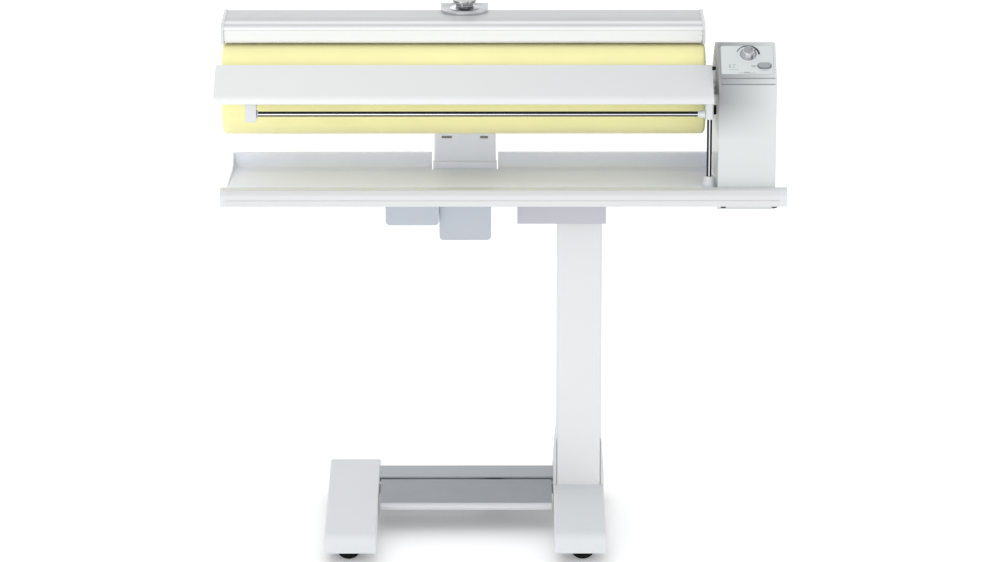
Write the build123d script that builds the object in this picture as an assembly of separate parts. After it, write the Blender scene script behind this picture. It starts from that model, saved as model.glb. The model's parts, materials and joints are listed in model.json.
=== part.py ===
from build123d import *
import os
from math import cos, radians, sin

# A free-standing rotary ironer, in millimetres.  +X is the user's right, +Y the back, +Z up.
# The origin is on the floor, under the centre of the whole machine.

# ---------------------------------------------------------------- driving dimensions
WIDTH = 985.0
DEPTH = 380.0
HEIGHT = 955.0
X_LEFT = -WIDTH / 2
X_RIGHT = WIDTH / 2
Y_FRONT = -DEPTH / 2
Y_BACK = DEPTH / 2

SHEET = 2.0                      # painted steel sheet
WALL = 3.0                       # moulded plastic wall
GAP = 0.5                        # shut line between separate covers
RUN = 0.05                       # radial clearance of a running fit

# base
FOOT_WIDTH = 91.0
FOOT_LEFT_X = -265.0
FOOT_RIGHT_X = 140.0
FOOT_BOTTOM = 20.0
FOOT_NOSE = 20.0
FOOT_TOP_FRONT = 56.0
FOOT_TOP_BACK = 68.0
COLUMN_X = (100.0, 180.0)
COLUMN_Y = (Y_FRONT + 242, Y_FRONT + 336)
COLUMN_FOOT = 54.0
COLUMN_TOP = 612.0
CASTOR_R = 22.0
CASTOR_OFFSET = 4.0
CASTOR_Y = (Y_FRONT + 44, Y_BACK - 38)

# pedal bar
PEDAL_X = (-216.5, 91.5)
PEDAL_PIVOT = (Y_FRONT + 268, 60.0)

# fold
PIVOT_X = 47.0
PIVOT_Z = 601.0
PIVOT_PIN_R = 8.0
BRACKET_X = (29.0, 186.0)
BRACKET_Y = (Y_FRONT + 212, Y_FRONT + 340)
BRACKET_Z = (562.0, 620.0)
BRACKET_CORNER = 8.0             # cut away so that the beam clears the plates as it folds

# ironing roller
ROLLER_X = (-484.0, 355.0)
ROLLER_Y = Y_FRONT + 170
ROLLER_Z = 821.0
ROLLER_R = 80.0
CLOTH = 1.5
PADDING = 6.5
DRUM_WALL = 2.0
SHAFT_R = 12.0

# heater
HEATER_X = (-486.0, 355.0)
SHOE_GAP = 1.2
SHOE_WALL = 8.0
ARM_X = (-117.5, -9.0)
ARM_PIVOT = (Y_FRONT + 305, 700.0)
KNOB_X = -64.0
KNOB_Y = Y_FRONT + 275
PLATE_Y = KNOB_Y - 1
PLATE_R = 41.5
PLATE_TOP = 939.5
CASTING_X = (-84.0, -42.0)

# tray
TRAY_X = (-474.0, 366.0)
LIP_X = (-475.0, 479.5)
LIP_Z = (653.0, 681.5)
LIP_DEPTH = 26.0
TRAY_BACK = Y_FRONT + 250
TRAY_LOW = 656.0
TRAY_TOP = 681.0

# chassis beam
BEAM_X = (-440.0, 472.0)
TRAY_REST_X = (-430.0, -250.0, 120.0, 320.0)
BEAM_Y = (Y_FRONT + 130, Y_FRONT + 236)
BEAM_Z = (626.0, 642.0)

# head
HEAD_X = (373.0, 473.0)
HEAD_Y = (Y_FRONT + 26, Y_FRONT + 302)
HEAD_BOTTOM = 642.0
FASCIA_FOOT = (Y_FRONT + 33, 876.0)
FASCIA_TOP = (Y_FRONT + 97, 921.0)

# feed gate
GATE_X = 359.0
GATE_Y = Y_FRONT + 47
ROD_R = 4.5
RAIL_Z = 809.5
RAIL_Y = Y_FRONT + 36
BOARD_X = (X_LEFT, 364.0)


# ---------------------------------------------------------------- helpers
def block(xs, ys, zs):
    """A box from its three spans."""
    size = (xs[1] - xs[0], ys[1] - ys[0], zs[1] - zs[0])
    centre = ((xs[0] + xs[1]) / 2, (ys[0] + ys[1]) / 2, (zs[0] + zs[1]) / 2)
    return Pos(*centre) * Box(*size)


def round_block(xs, ys, zs, axis, radius):
    """A box with the four edges that run along one axis rounded."""
    solid = block(xs, ys, zs)
    return fillet(solid.edges().filter_by(axis), radius)


def outline(points, radii=None):
    """A closed face in the Y-Z plane, with a rounding radius for each corner."""
    corners = [(y, z) for y, z in points]
    face = make_face(Polyline(*corners, close=True))
    if radii is None:
        return face
    for corner, radius in zip(corners, radii):
        if radius:
            near = sorted(face.vertices(), key=lambda v: (v.X - corner[0]) ** 2 + (v.Y - corner[1]) ** 2)
            face = fillet(near[0], radius)
    return face


def along_x(face, xs):
    """Extrude a Y-Z outline along X between two places."""
    plane = Plane(origin=(xs[0], 0, 0), x_dir=(0, 1, 0), z_dir=(1, 0, 0))
    return extrude(plane * face, amount=xs[1] - xs[0])


def rod_x(y, z, radius, xs):
    return Pos((xs[0] + xs[1]) / 2, y, z) * Rot(0, 90, 0) * Cylinder(radius, xs[1] - xs[0])


def rod_y(x, z, radius, ys):
    return Pos(x, (ys[0] + ys[1]) / 2, z) * Rot(90, 0, 0) * Cylinder(radius, ys[1] - ys[0])


def rod_z(x, y, radius, zs):
    return Pos(x, y, (zs[0] + zs[1]) / 2) * Cylinder(radius, zs[1] - zs[0])


def ring_x(y, z, outer, inner, xs):
    return rod_x(y, z, outer, xs) - rod_x(y, z, inner, (xs[0] - 1, xs[1] + 1))


def group(*solids):
    return Compound(children=list(solids))


parts = {}


# ---------------------------------------------------------------- base: feet, column, cross member
def foot_top(y):
    """Height of a foot's sloping top at a place along its length."""
    return FOOT_TOP_FRONT + (FOOT_TOP_BACK - FOOT_TOP_FRONT) * (y - Y_FRONT) / DEPTH


def foot_profile(inset, bottom, nose):
    front = Y_FRONT + inset
    back = Y_BACK - inset
    front_top = foot_top(front) - inset
    back_top = foot_top(back) - inset
    corners = [(front, bottom), (front, front_top), (back, back_top), (back, bottom)]
    return outline(corners, [0, nose, nose / 2, 0])


def foot(centre_x):
    """A moulded foot, open below, with a boss over each castor."""
    half = FOOT_WIDTH / 2
    shell = along_x(foot_profile(0, FOOT_BOTTOM, FOOT_NOSE), (centre_x - half, centre_x + half))
    upper = [edge for edge in shell.edges() if edge.center().Z > FOOT_BOTTOM + 1]
    shell = fillet(upper, 3.0)
    inner = half - WALL
    hollow = foot_profile(WALL, FOOT_BOTTOM - 1, FOOT_NOSE - WALL)
    shell -= along_x(hollow, (centre_x - inner, centre_x + inner))
    for y in CASTOR_Y:
        ceiling = foot_top(y) - WALL
        shell += rod_z(centre_x, y, 12, (48, ceiling + 1))
        shell -= rod_z(centre_x, y, 4 + RUN, (47, ceiling - 1.5))
    return shell


def column_fairing():
    """Curved webs that spread the column's sides out to the foot's width."""
    left = FOOT_RIGHT_X - FOOT_WIDTH / 2
    right = FOOT_RIGHT_X + FOOT_WIDTH / 2
    low = 60.0
    high = 150.0
    sides = []
    for outer, inner in ((left, COLUMN_X[0]), (right, COLUMN_X[1])):
        middle = (outer + 0.22 * (inner - outer), 100.0)
        edge = [Line((outer, low), (outer, 72)), ThreePointArc((outer, 72), middle, (inner, high)),
                Line((inner, high), (inner, low)), Line((inner, low), (outer, low))]
        face = make_face(edge)
        plane = Plane(origin=(0, COLUMN_Y[0], 0), x_dir=(1, 0, 0), z_dir=(0, -1, 0))
        sides.append(extrude(plane * face, amount=-(COLUMN_Y[1] - COLUMN_Y[0])))
    return sides


def right_foot():
    """The foot under the column, with a pad inside it that the column stands on."""
    shell = foot(FOOT_RIGHT_X)
    for side in column_fairing():
        shell += side
    inner = FOOT_WIDTH / 2 - WALL
    pad_x = (FOOT_RIGHT_X - inner, FOOT_RIGHT_X + inner)
    shell += block(pad_x, (COLUMN_Y[0], COLUMN_Y[1] - 12), (COLUMN_FOOT - 4, COLUMN_FOOT))
    return shell - round_block(COLUMN_X, COLUMN_Y, (COLUMN_FOOT, 200), Axis.Z, 5)


def column():
    """A steel box column that passes through the right foot's top and stands on the pad inside."""
    tube = round_block(COLUMN_X, COLUMN_Y, (COLUMN_FOOT, COLUMN_TOP), Axis.Z, 5)
    inner_x = (COLUMN_X[0] + WALL, COLUMN_X[1] - WALL)
    inner_y = (COLUMN_Y[0] + WALL, COLUMN_Y[1] - WALL)
    return tube - round_block(inner_x, inner_y, (COLUMN_FOOT - 1, COLUMN_TOP - WALL), Axis.Z, 3)


def cross_member():
    """A closed aluminium profile between the feet, behind the pedal bar."""
    front = Y_FRONT + 287
    back = Y_FRONT + 345
    outer = outline([(front, 30), (front, 63), (back, 66), (back, 30)], [2, 2, 4, 2])
    inner = outline([(front + 3, 33), (front + 3, 60), (back - 3, 63), (back - 3, 33)])
    xs = (FOOT_LEFT_X + FOOT_WIDTH / 2, FOOT_RIGHT_X - FOOT_WIDTH / 2)
    return along_x(outer, xs) - along_x(inner, (xs[0] - 1, xs[1] + 1))


def pedal_switch():
    """A switch on the cross member; its plunger stands just under the pedal bar."""
    body = block((-30, 5), (Y_FRONT + 238, Y_FRONT + 287), (34, 50))
    return body + rod_z(-12, Y_FRONT + 246, 3, (49, 55))


def pedal_bar():
    """The foot bar: a ribbed plate with a rounded nose and a hinge barrel at its back."""
    nose = Y_FRONT + 161
    py, pz = PEDAL_PIVOT
    skin = outline([(nose, 44), (nose, 56), (py + 5, 63), (py + 5, 59.5), (nose + 4, 52), (nose + 4, 44)],
                   [1.5, 7, 0, 0, 3, 1.5])
    bar = along_x(skin, PEDAL_X) + rod_x(py, pz - 3, 5, PEDAL_X)
    for x in (PEDAL_X[0], (PEDAL_X[0] + PEDAL_X[1]) / 2 - 2, PEDAL_X[1] - 4):
        rib = outline([(nose + 3, 46), (nose + 3, 54), (py - 3, 60), (py - 3, 54)])
        bar += along_x(rib, (x, x + 4))
    for x in (PEDAL_X[0] - 1, PEDAL_X[1] - 9):
        bar -= rod_x(py, pz - 3, 3 + RUN, (x, x + 10))
    return bar


def pedal_pins():
    """One hinge pin at each end of the pedal bar, fixed to the feet."""
    py, pz = PEDAL_PIVOT
    left_wall = FOOT_LEFT_X + FOOT_WIDTH / 2
    right_wall = FOOT_RIGHT_X - FOOT_WIDTH / 2
    left_pin = rod_x(py, pz - 3, 3, (left_wall, PEDAL_X[0] + 8))
    right_pin = rod_x(py, pz - 3, 3, (PEDAL_X[1] - 8, right_wall))
    return group(left_pin, right_pin)


# ---------------------------------------------------------------- castors
def castor_hood(x, y, trail):
    """Stem, canopy and centre web of a twin-wheel castor; its axle lies along Y."""
    axle_x = x + trail
    canopy = rod_y(axle_x, CASTOR_R, CASTOR_R + 3.5, (y - 19, y + 19))
    canopy -= rod_y(axle_x, CASTOR_R, CASTOR_R + 1, (y - 20, y + 20))
    canopy &= block((axle_x - 30, axle_x + 30), (y - 20, y + 20), (30, 50))
    web = rod_y(axle_x, CASTOR_R, CASTOR_R - 2, (y - 4, y + 4))
    web += block((axle_x - 9, axle_x + 9), (y - 4, y + 4), (CASTOR_R, CASTOR_R + 2.5 + CASTOR_R - 1))
    stem_top = foot_top(y) - WALL - 2.5
    hood = canopy + web + rod_z(x, y, 4, (CASTOR_R + 20, stem_top)) + rod_z(x, y, 8, (44, 47.5))
    return hood - rod_y(axle_x, CASTOR_R, 3 + RUN, (y - 20, y + 20))


def castor_wheels(x, y, trail):
    """Two tyres on one axle."""
    axle_x = x + trail
    wheels = rod_y(axle_x, CASTOR_R, 3, (y - 17, y + 17))
    for side in (-1, 1):
        near = y + side * 5
        far = y + side * 18
        disc = rod_y(axle_x, CASTOR_R, CASTOR_R, (min(near, far), max(near, far)))
        wheels += fillet(disc.edges().filter_by(GeomType.CIRCLE), 2.0)
    return wheels


parts["left_foot"] = foot(FOOT_LEFT_X)
parts["right_foot"] = right_foot()
parts["column"] = column()
parts["cross_member"] = cross_member()
parts["pedal_switch"] = pedal_switch()
parts["pedal_bar"] = pedal_bar()
parts["pedal_pins"] = pedal_pins()
for side, foot_x, trail in (("left", FOOT_LEFT_X, -CASTOR_OFFSET), ("right", FOOT_RIGHT_X, CASTOR_OFFSET)):
    for end, castor_y in zip(("front", "back"), CASTOR_Y):
        parts[f"{end}_{side}_castor_hood"] = castor_hood(foot_x, castor_y, trail)
        parts[f"{end}_{side}_castor_wheels"] = castor_wheels(foot_x, castor_y, trail)


# ---------------------------------------------------------------- fold bracket and lock
def fold_bracket():
    """Channel over the column's top; its two plates carry the fold pivot."""
    plates = block(BRACKET_X, (BRACKET_Y[0], BRACKET_Y[0] + 4), BRACKET_Z)
    plates += block(BRACKET_X, (BRACKET_Y[1] - 4, BRACKET_Y[1]), BRACKET_Z)
    corner = [e for e in plates.edges().filter_by(Axis.Y) if e.center().X < BRACKET_X[0] + 1
              and e.center().Z > BRACKET_Z[1] - 1]
    plates = chamfer(corner, BRACKET_CORNER)
    web = block((66, BRACKET_X[1]), BRACKET_Y, (COLUMN_TOP, BRACKET_Z[1]))
    cheek = block((BRACKET_X[1] - 4, BRACKET_X[1]), BRACKET_Y, BRACKET_Z)
    inner = block((66, 70), BRACKET_Y, BRACKET_Z)
    bracket = plates + web + cheek + inner
    return bracket - rod_y(PIVOT_X, PIVOT_Z, PIVOT_PIN_R, (BRACKET_Y[0] - 1, BRACKET_Y[1] + 1))


def pivot_pin():
    """The fold axle, held in both bracket plates."""
    return rod_y(PIVOT_X, PIVOT_Z, PIVOT_PIN_R, (BRACKET_Y[0], BRACKET_Y[1] + 16))


def fold_lock_lever():
    """A clamp lever behind the bracket that turns on the pivot pin's end."""
    y0 = BRACKET_Y[1] + 1
    lever = rod_y(PIVOT_X, PIVOT_Z, 15, (y0, y0 + 12))
    lever += round_block((PIVOT_X, PIVOT_X + 88), (y0 + 3, y0 + 10), (PIVOT_Z - 9, PIVOT_Z + 9), Axis.Y, 6)
    return lever - rod_y(PIVOT_X, PIVOT_Z, PIVOT_PIN_R + RUN, (y0 - 1, y0 + 13))


parts["fold_bracket"] = fold_bracket()
parts["pivot_pin"] = pivot_pin()
parts["fold_lock_lever"] = fold_lock_lever()


# ---------------------------------------------------------------- chassis beam, tray and lip
def chassis_beam():
    """The long closed box section that carries tray, head and heater, with the fold lug welded below."""
    beam = block(BEAM_X, BEAM_Y, BEAM_Z)
    inner_x = (BEAM_X[0] + WALL, BEAM_X[1] - WALL)
    beam -= block(inner_x, (BEAM_Y[0] + WALL, BEAM_Y[1] - WALL), (BEAM_Z[0] + WALL, BEAM_Z[1] - WALL))
    lug_y = (BRACKET_Y[0] + 5, BRACKET_Y[1] - 5)
    plates = []
    for y0 in (lug_y[0], lug_y[1] - 8):
        plate = rod_y(PIVOT_X, PIVOT_Z, 18, (y0, y0 + 8))
        plate += block((PIVOT_X - 18, PIVOT_X + 18), (y0, y0 + 8), (PIVOT_Z, BEAM_Z[0] + 4))
        plates.append(plate)
    beam += plates[0] + plates[1]
    cross = block((PIVOT_X - 18, PIVOT_X + 18), lug_y, (BEAM_Z[0] - 2, BEAM_Z[0] + 4))
    beam += cross
    outrigger_y = (BEAM_Y[1] - 2, HEAD_Y[1] - 6)
    for xs in ((-130, 60), (HEAD_X[0] + 6, BEAM_X[1])):
        beam += block(xs, outrigger_y, (BEAM_Z[0], BEAM_Z[0] + 4))
    for x in TRAY_REST_X:
        beam += block((x, x + 30), (BEAM_Y[1] - 12, BEAM_Y[1]), (BEAM_Z[1], TRAY_LOW - SHEET))
    slot_x = (CASTING_X[0] - 4, CASTING_X[1] + 4)
    beam -= block(slot_x, (Y_FRONT + 278, Y_BACK), (BEAM_Z[0] - 1, BEAM_Z[0] + 5))
    return beam - rod_y(PIVOT_X, PIVOT_Z, PIVOT_PIN_R + RUN, (lug_y[0] - 1, lug_y[1] + 1))


def tray_section(offset):
    """The tray's line from its front edge down the floor and up the back wall."""
    front = Y_FRONT + LIP_DEPTH
    back = TRAY_BACK + offset
    return [(front, TRAY_TOP - offset), (TRAY_BACK - 30, TRAY_LOW - offset), (back, TRAY_LOW - offset),
            (back, TRAY_TOP)]


def tray_pan():
    """A folded sheet trough that slopes to the back, cut round the heater's arm housing."""
    upper = tray_section(0)
    lower = tray_section(SHEET)
    profile = outline(upper + lower[::-1], [0, 30, 7, 0, 0, 9, 32, 0])
    pan = along_x(profile, TRAY_X)
    flange = block(TRAY_X, (TRAY_BACK, TRAY_BACK + 12), (TRAY_TOP - SHEET, TRAY_TOP))
    pan += flange
    front = Y_FRONT + LIP_DEPTH
    for x in (TRAY_X[0], TRAY_X[1] - SHEET):
        end = outline([(front, TRAY_TOP), (TRAY_BACK - 30, TRAY_LOW - 1), (TRAY_BACK, TRAY_LOW - 1),
                       (TRAY_BACK, TRAY_TOP), (TRAY_BACK - 10, TRAY_TOP), (TRAY_BACK - 18, TRAY_LOW + 9),
                       (TRAY_BACK - 34, TRAY_LOW + 7)], [0, 28, 7, 0, 3, 8, 12])
        pan += along_x(end, (x, x + SHEET))
    notch_y = (TRAY_BACK - 14, TRAY_BACK + 20)
    notch = block((ARM_X[0] - 4, ARM_X[1] + 4), notch_y, (TRAY_LOW - 10, TRAY_TOP + 10))
    return pan - notch - rod_z(GATE_X, GATE_Y, 7.2, (640, 700))


def lip_profile(inset):
    y0 = Y_FRONT + inset
    y1 = Y_FRONT + LIP_DEPTH
    z0 = LIP_Z[0] + inset
    z1 = LIP_Z[1] - inset
    return [(y0 + 2, z0), (y0, z0 + 8), (y0, z1 - 8), (y0 + 8, z1), (y1, z1), (y1, z0)]


def tray_lip():
    """The rounded profile along the front edge, carried past the head to the right."""
    outer = outline(lip_profile(0), [2, 3, 6, 6, 0, 0])
    groove = block(LIP_X, (Y_FRONT - 1, Y_FRONT + 1), (LIP_Z[0] + 11, LIP_Z[0] + 12.4))
    hollow = outline(lip_profile(SHEET)[:4] + [(Y_FRONT + LIP_DEPTH - SHEET, LIP_Z[1] - SHEET),
                                               (Y_FRONT + LIP_DEPTH - SHEET, LIP_Z[0] + SHEET)])
    lip = along_x(outer, LIP_X) - groove
    return lip - along_x(hollow, (LIP_X[0] - 1, LIP_X[1] + 1))


def lip_end_caps():
    left = along_x(outline(lip_profile(0), [2, 3, 6, 6, 0, 0]), (ROLLER_X[0], LIP_X[0]))
    right = along_x(outline(lip_profile(0), [2, 3, 6, 6, 0, 0]), (LIP_X[1], X_RIGHT))
    return group(left, right)


def tray_bumpers():
    """Small rubber feet under the lip's right end, on which the folded machine can lean."""
    feet = []
    for x in (383.0, 471.0):
        feet.append(rod_z(x, Y_FRONT + 14, 5, (LIP_Z[0] - 4, LIP_Z[0])))
    return group(*feet)


parts["chassis_beam"] = chassis_beam()
parts["tray_pan"] = tray_pan()
parts["tray_lip"] = tray_lip()
parts["lip_end_caps"] = lip_end_caps()
parts["tray_bumpers"] = tray_bumpers()


# ---------------------------------------------------------------- roller and its drive
def roller_ring(outer, inner, xs):
    return ring_x(ROLLER_Y, ROLLER_Z, outer, inner, xs)


CAP_X = (ROLLER_X[0] + 6, ROLLER_X[0] + 12)
HUB_X = (ROLLER_X[1] - 14, ROLLER_X[1] - 6)
DRUM_R = ROLLER_R - CLOTH - PADDING


def roller_cloth():
    """The cotton cover: a sleeve drawn in over both ends of the padding."""
    ends = (ROLLER_X[0], ROLLER_X[1])
    outer = rod_x(ROLLER_Y, ROLLER_Z, ROLLER_R, ends)
    outer = fillet(outer.edges().filter_by(GeomType.CIRCLE), 8.0)
    inner = rod_x(ROLLER_Y, ROLLER_Z, ROLLER_R - CLOTH, (ends[0] + CLOTH, ends[1] - CLOTH))
    inner = fillet(inner.edges().filter_by(GeomType.CIRCLE), 6.5)
    return outer - inner - rod_x(ROLLER_Y, ROLLER_Z, 52, (ends[0] - 1, ends[1] + 1))


def roller_padding():
    ends = (ROLLER_X[0] + CLOTH, ROLLER_X[1] - CLOTH)
    felt = rod_x(ROLLER_Y, ROLLER_Z, ROLLER_R - CLOTH, ends)
    felt = fillet(felt.edges().filter_by(GeomType.CIRCLE), 6.5)
    drum_space = rod_x(ROLLER_Y, ROLLER_Z, DRUM_R, (CAP_X[0], HUB_X[1]))
    return felt - drum_space - rod_x(ROLLER_Y, ROLLER_Z, 52, (ends[0] - 1, ends[1] + 1))


def roller_drum():
    return roller_ring(DRUM_R, DRUM_R - DRUM_WALL, (CAP_X[0], HUB_X[1]))


def roller_end(xs):
    """A closed end disc, pressed into the drum and onto the shaft."""
    return roller_ring(DRUM_R - DRUM_WALL, SHAFT_R, xs)


SHAFT_END = HEAD_X[1] - 12
BEARING_X = ((HEAD_X[0] + 10, HEAD_X[0] + 22), (HEAD_X[1] - 40, HEAD_X[1] - 28))
GEAR_X = (HEAD_X[0] + 30, HEAD_X[0] + 42)
GEAR_R = 52.0
PINION_R = 12.0
GEAR_TEETH = 52
PINION_TEETH = 12
PINION_Y = ROLLER_Y
PINION_Z = ROLLER_Z - GEAR_R - PINION_R


def roller_shaft():
    return rod_x(ROLLER_Y, ROLLER_Z, SHAFT_R, (CAP_X[0], SHAFT_END))


def toothed_disc(y, z, pitch_r, teeth, xs, phase):
    """A gear with straight-sided teeth, one module deep."""
    module = 2 * pitch_r / teeth
    root = pitch_r - 1.15 * module
    disc = rod_x(y, z, root, xs)
    for index in range(teeth):
        angle = 360 * index / teeth + phase
        tip = pitch_r + 0.85 * module
        tooth = [(root - 0.6, -0.78 * module), (pitch_r, -0.70 * module), (tip, -0.38 * module),
                 (tip, 0.38 * module), (pitch_r, 0.70 * module), (root - 0.6, 0.78 * module)]
        face = make_face(Polyline(*tooth, close=True))
        outward = (0, cos(radians(angle)), sin(radians(angle)))
        plane = Plane(origin=(xs[0], y, z), x_dir=outward, z_dir=(1, 0, 0))
        disc += extrude(plane * face, amount=xs[1] - xs[0])
    return disc


def drive_gear():
    gear = toothed_disc(ROLLER_Y, ROLLER_Z, GEAR_R, GEAR_TEETH, GEAR_X, 90)
    return gear - rod_x(ROLLER_Y, ROLLER_Z, SHAFT_R, (GEAR_X[0] - 1, GEAR_X[1] + 1))


def motor_pinion():
    """The pinion, one half tooth out of step with the gear, on its own shaft."""
    pinion = toothed_disc(PINION_Y, PINION_Z, PINION_R, PINION_TEETH, (GEAR_X[0] + 1, GEAR_X[1] - 1), 75)
    return pinion + rod_x(PINION_Y, PINION_Z, 4, (GEAR_X[0] + 1, GEAR_X[1] + 12))


parts["roller_cloth"] = roller_cloth()
parts["roller_padding"] = roller_padding()
parts["roller_drum"] = roller_drum()
parts["roller_left_cap"] = roller_end(CAP_X)
parts["roller_right_hub"] = roller_end(HUB_X)
parts["roller_shaft"] = roller_shaft()
parts["drive_gear"] = drive_gear()
parts["motor_pinion"] = motor_pinion()


# ---------------------------------------------------------------- control head
def head_profile(inset):
    """The head's side view: upright front, sloping fascia, and a top that falls to the back."""
    y0 = HEAD_Y[0] + inset
    y1 = HEAD_Y[1] - inset
    return [(y0, HEAD_BOTTOM), (y0, 866 - inset * 0.3), (FASCIA_FOOT[0] + inset * 0.4, 876 - inset),
            (FASCIA_TOP[0], FASCIA_TOP[1] - inset * 1.2), (Y_FRONT + 190, 899 - inset),
            (Y_FRONT + 272 - inset * 0.7, 840 - inset), (y1, 800 - inset * 0.4), (y1, HEAD_BOTTOM)]


HEAD_RADII = [0, 4, 5, 12, 60, 40, 14, 0]
REAR_JOINT = Y_FRONT + 284


def head_solid():
    return along_x(outline(head_profile(0), HEAD_RADII), HEAD_X)


def head_hollow():
    inner = along_x(outline(head_profile(WALL), HEAD_RADII), (HEAD_X[0] + WALL, HEAD_X[1] - WALL))
    open_y = (HEAD_Y[0] + WALL, HEAD_Y[1] - WALL)
    return inner + block((HEAD_X[0] + WALL, HEAD_X[1] - WALL), open_y, (HEAD_BOTTOM - 5, 700))


def fascia_plane(x, along, out=0.0):
    """A plane on the fascia: x across, along up the slope from its foot, out from the surface."""
    dy = FASCIA_TOP[0] - FASCIA_FOOT[0]
    dz = FASCIA_TOP[1] - FASCIA_FOOT[1]
    length = (dy * dy + dz * dz) ** 0.5
    up = (dy / length, dz / length)
    normal = (-up[1], up[0])
    y = FASCIA_FOOT[0] + up[0] * along + normal[0] * out
    z = FASCIA_FOOT[1] + up[1] * along + normal[1] * out
    return Plane(origin=(x, y, z), x_dir=(1, 0, 0), z_dir=(0, normal[0], normal[1]))


HEAD_MID = (HEAD_X[0] + HEAD_X[1]) / 2
FASCIA_SIZE = (90.0, 64.0)
FASCIA_MID = 38.0
DIAL = (425.2, 50.6)
DIAL_R = 13.8
DIAL_TOP_R = 9.5
DIAL_HEIGHT = 11.0
BUTTON = (452.3, 24.7)
BUTTON_SIZE = (21.5, 11.0)


def fascia_slab(grow, out0, out1):
    plane = fascia_plane(HEAD_MID, FASCIA_MID, out0)
    face = RectangleRounded(FASCIA_SIZE[0] + grow, FASCIA_SIZE[1] + grow, 3)
    return extrude(plane * face, amount=out1 - out0)


def head_shell():
    outer = head_solid()
    side = [edge for edge in outer.edges() if edge.center().Z > HEAD_BOTTOM + 5
            and min(abs(edge.center().X - HEAD_X[0]), abs(edge.center().X - HEAD_X[1])) < 0.01]
    outer = fillet(side, 2.5)
    shell = outer - head_hollow() - fascia_slab(0.6, -8, 5)
    shell -= block((HEAD_X[0] - 1, HEAD_X[1] + 1), (REAR_JOINT, HEAD_Y[1] + 1), (HEAD_BOTTOM - 1, 960))
    for z in (863.5, 873.5):
        shell -= block((HEAD_X[0] + 4, HEAD_X[1] - 4), (HEAD_Y[0] - 1, HEAD_Y[0] + 1.2), (z, z + 1.6))
    return shell - rod_x(ROLLER_Y, ROLLER_Z, SHAFT_R + 3, (HEAD_X[0] - 1, HEAD_X[0] + WALL + 1))


def head_rear_cover():
    cover = head_solid() - head_hollow()
    cover &= block(HEAD_X, (REAR_JOINT + GAP, HEAD_Y[1]), (HEAD_BOTTOM, 960))
    for step in range(5):
        z = 700 + 14 * step
        cover -= block((HEAD_X[0] + 22, HEAD_X[1] - 22), (HEAD_Y[1] - WALL - 1, HEAD_Y[1] + 1), (z, z + 5))
    return cover - rod_y(HEAD_MID, 668, 9, (HEAD_Y[1] - 10, HEAD_Y[1] + 5))


def control_fascia():
    """The sloping control plate, held by a flange behind the shell's wall."""
    plate = fascia_slab(0, -5.2, 0) + fascia_slab(1.6, -5.2, -3.6)
    dial_plane = fascia_plane(DIAL[0], DIAL[1], -8)
    plate -= extrude(dial_plane * Circle(4.6), amount=12)
    button_plane = fascia_plane(BUTTON[0], BUTTON[1], -8)
    return plate - extrude(button_plane * SlotOverall(BUTTON_SIZE[0] + 0.8, BUTTON_SIZE[1] + 0.8), amount=12)


def temperature_knob():
    plane = fascia_plane(DIAL[0], DIAL[1], 0.6 + DIAL_HEIGHT / 2)
    knob = plane * Cone(DIAL_R, DIAL_TOP_R, DIAL_HEIGHT)
    knob = fillet(knob.edges().filter_by(GeomType.CIRCLE).sort_by(Axis.Z)[-1], 1.5)
    return knob + extrude(fascia_plane(DIAL[0], DIAL[1], -14) * Circle(3), amount=15)


def power_button():
    plane = fascia_plane(BUTTON[0], BUTTON[1], -4)
    return extrude(plane * SlotOverall(*BUTTON_SIZE), amount=6.5)


def bearing_frame():
    """Two steel plates on a foot that hold the roller's bearings and the motor."""
    foot_y = (BEAM_Y[0] + 2, BEAM_Y[1] - 2)
    frame = block((HEAD_X[0] + 5, HEAD_X[1] - 5), foot_y, (BEAM_Z[1], BEAM_Z[1] + 4))
    for xs in BEARING_X:
        middle = (xs[0] + xs[1]) / 2
        plate = block((middle - 2, middle + 2), (ROLLER_Y - 45, ROLLER_Y + 45), (BEAM_Z[1], ROLLER_Z + 36))
        frame += plate
    frame -= rod_x(ROLLER_Y, ROLLER_Z, 19, (HEAD_X[0], HEAD_X[1]))
    return frame - rod_x(PINION_Y, PINION_Z, 34, (GEAR_X[1] + 2, HEAD_X[1]))


def roller_bearings():
    rings = [ring_x(ROLLER_Y, ROLLER_Z, 19, SHAFT_R + RUN, xs) for xs in BEARING_X]
    return group(*rings)


def drive_motor():
    motor = rod_x(PINION_Y, PINION_Z, 34, (GEAR_X[1] + 5, HEAD_X[1] - 6))
    return motor - rod_x(PINION_Y, PINION_Z, 4 + RUN, (GEAR_X[1] + 4, GEAR_X[1] + 13))


def cable_gland():
    """The empty gland where a mains lead would enter, low on the head's back."""
    gland = rod_y(HEAD_MID, 668, 9, (HEAD_Y[1] - WALL, HEAD_Y[1]))
    gland += rod_y(HEAD_MID, 668, 12, (HEAD_Y[1], HEAD_Y[1] + 4))
    gland += rod_y(HEAD_MID, 668, 7.5, (HEAD_Y[1] + 4, HEAD_Y[1] + 16))
    return gland - rod_y(HEAD_MID, 668, 4, (HEAD_Y[1] - 10, HEAD_Y[1] + 20))


parts["head_shell"] = head_shell()
parts["head_rear_cover"] = head_rear_cover()
parts["control_fascia"] = control_fascia()
parts["temperature_knob"] = temperature_knob()
parts["power_button"] = power_button()
parts["bearing_frame"] = bearing_frame()
parts["roller_bearings"] = roller_bearings()
parts["drive_motor"] = drive_motor()
parts["cable_gland"] = cable_gland()


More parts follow.
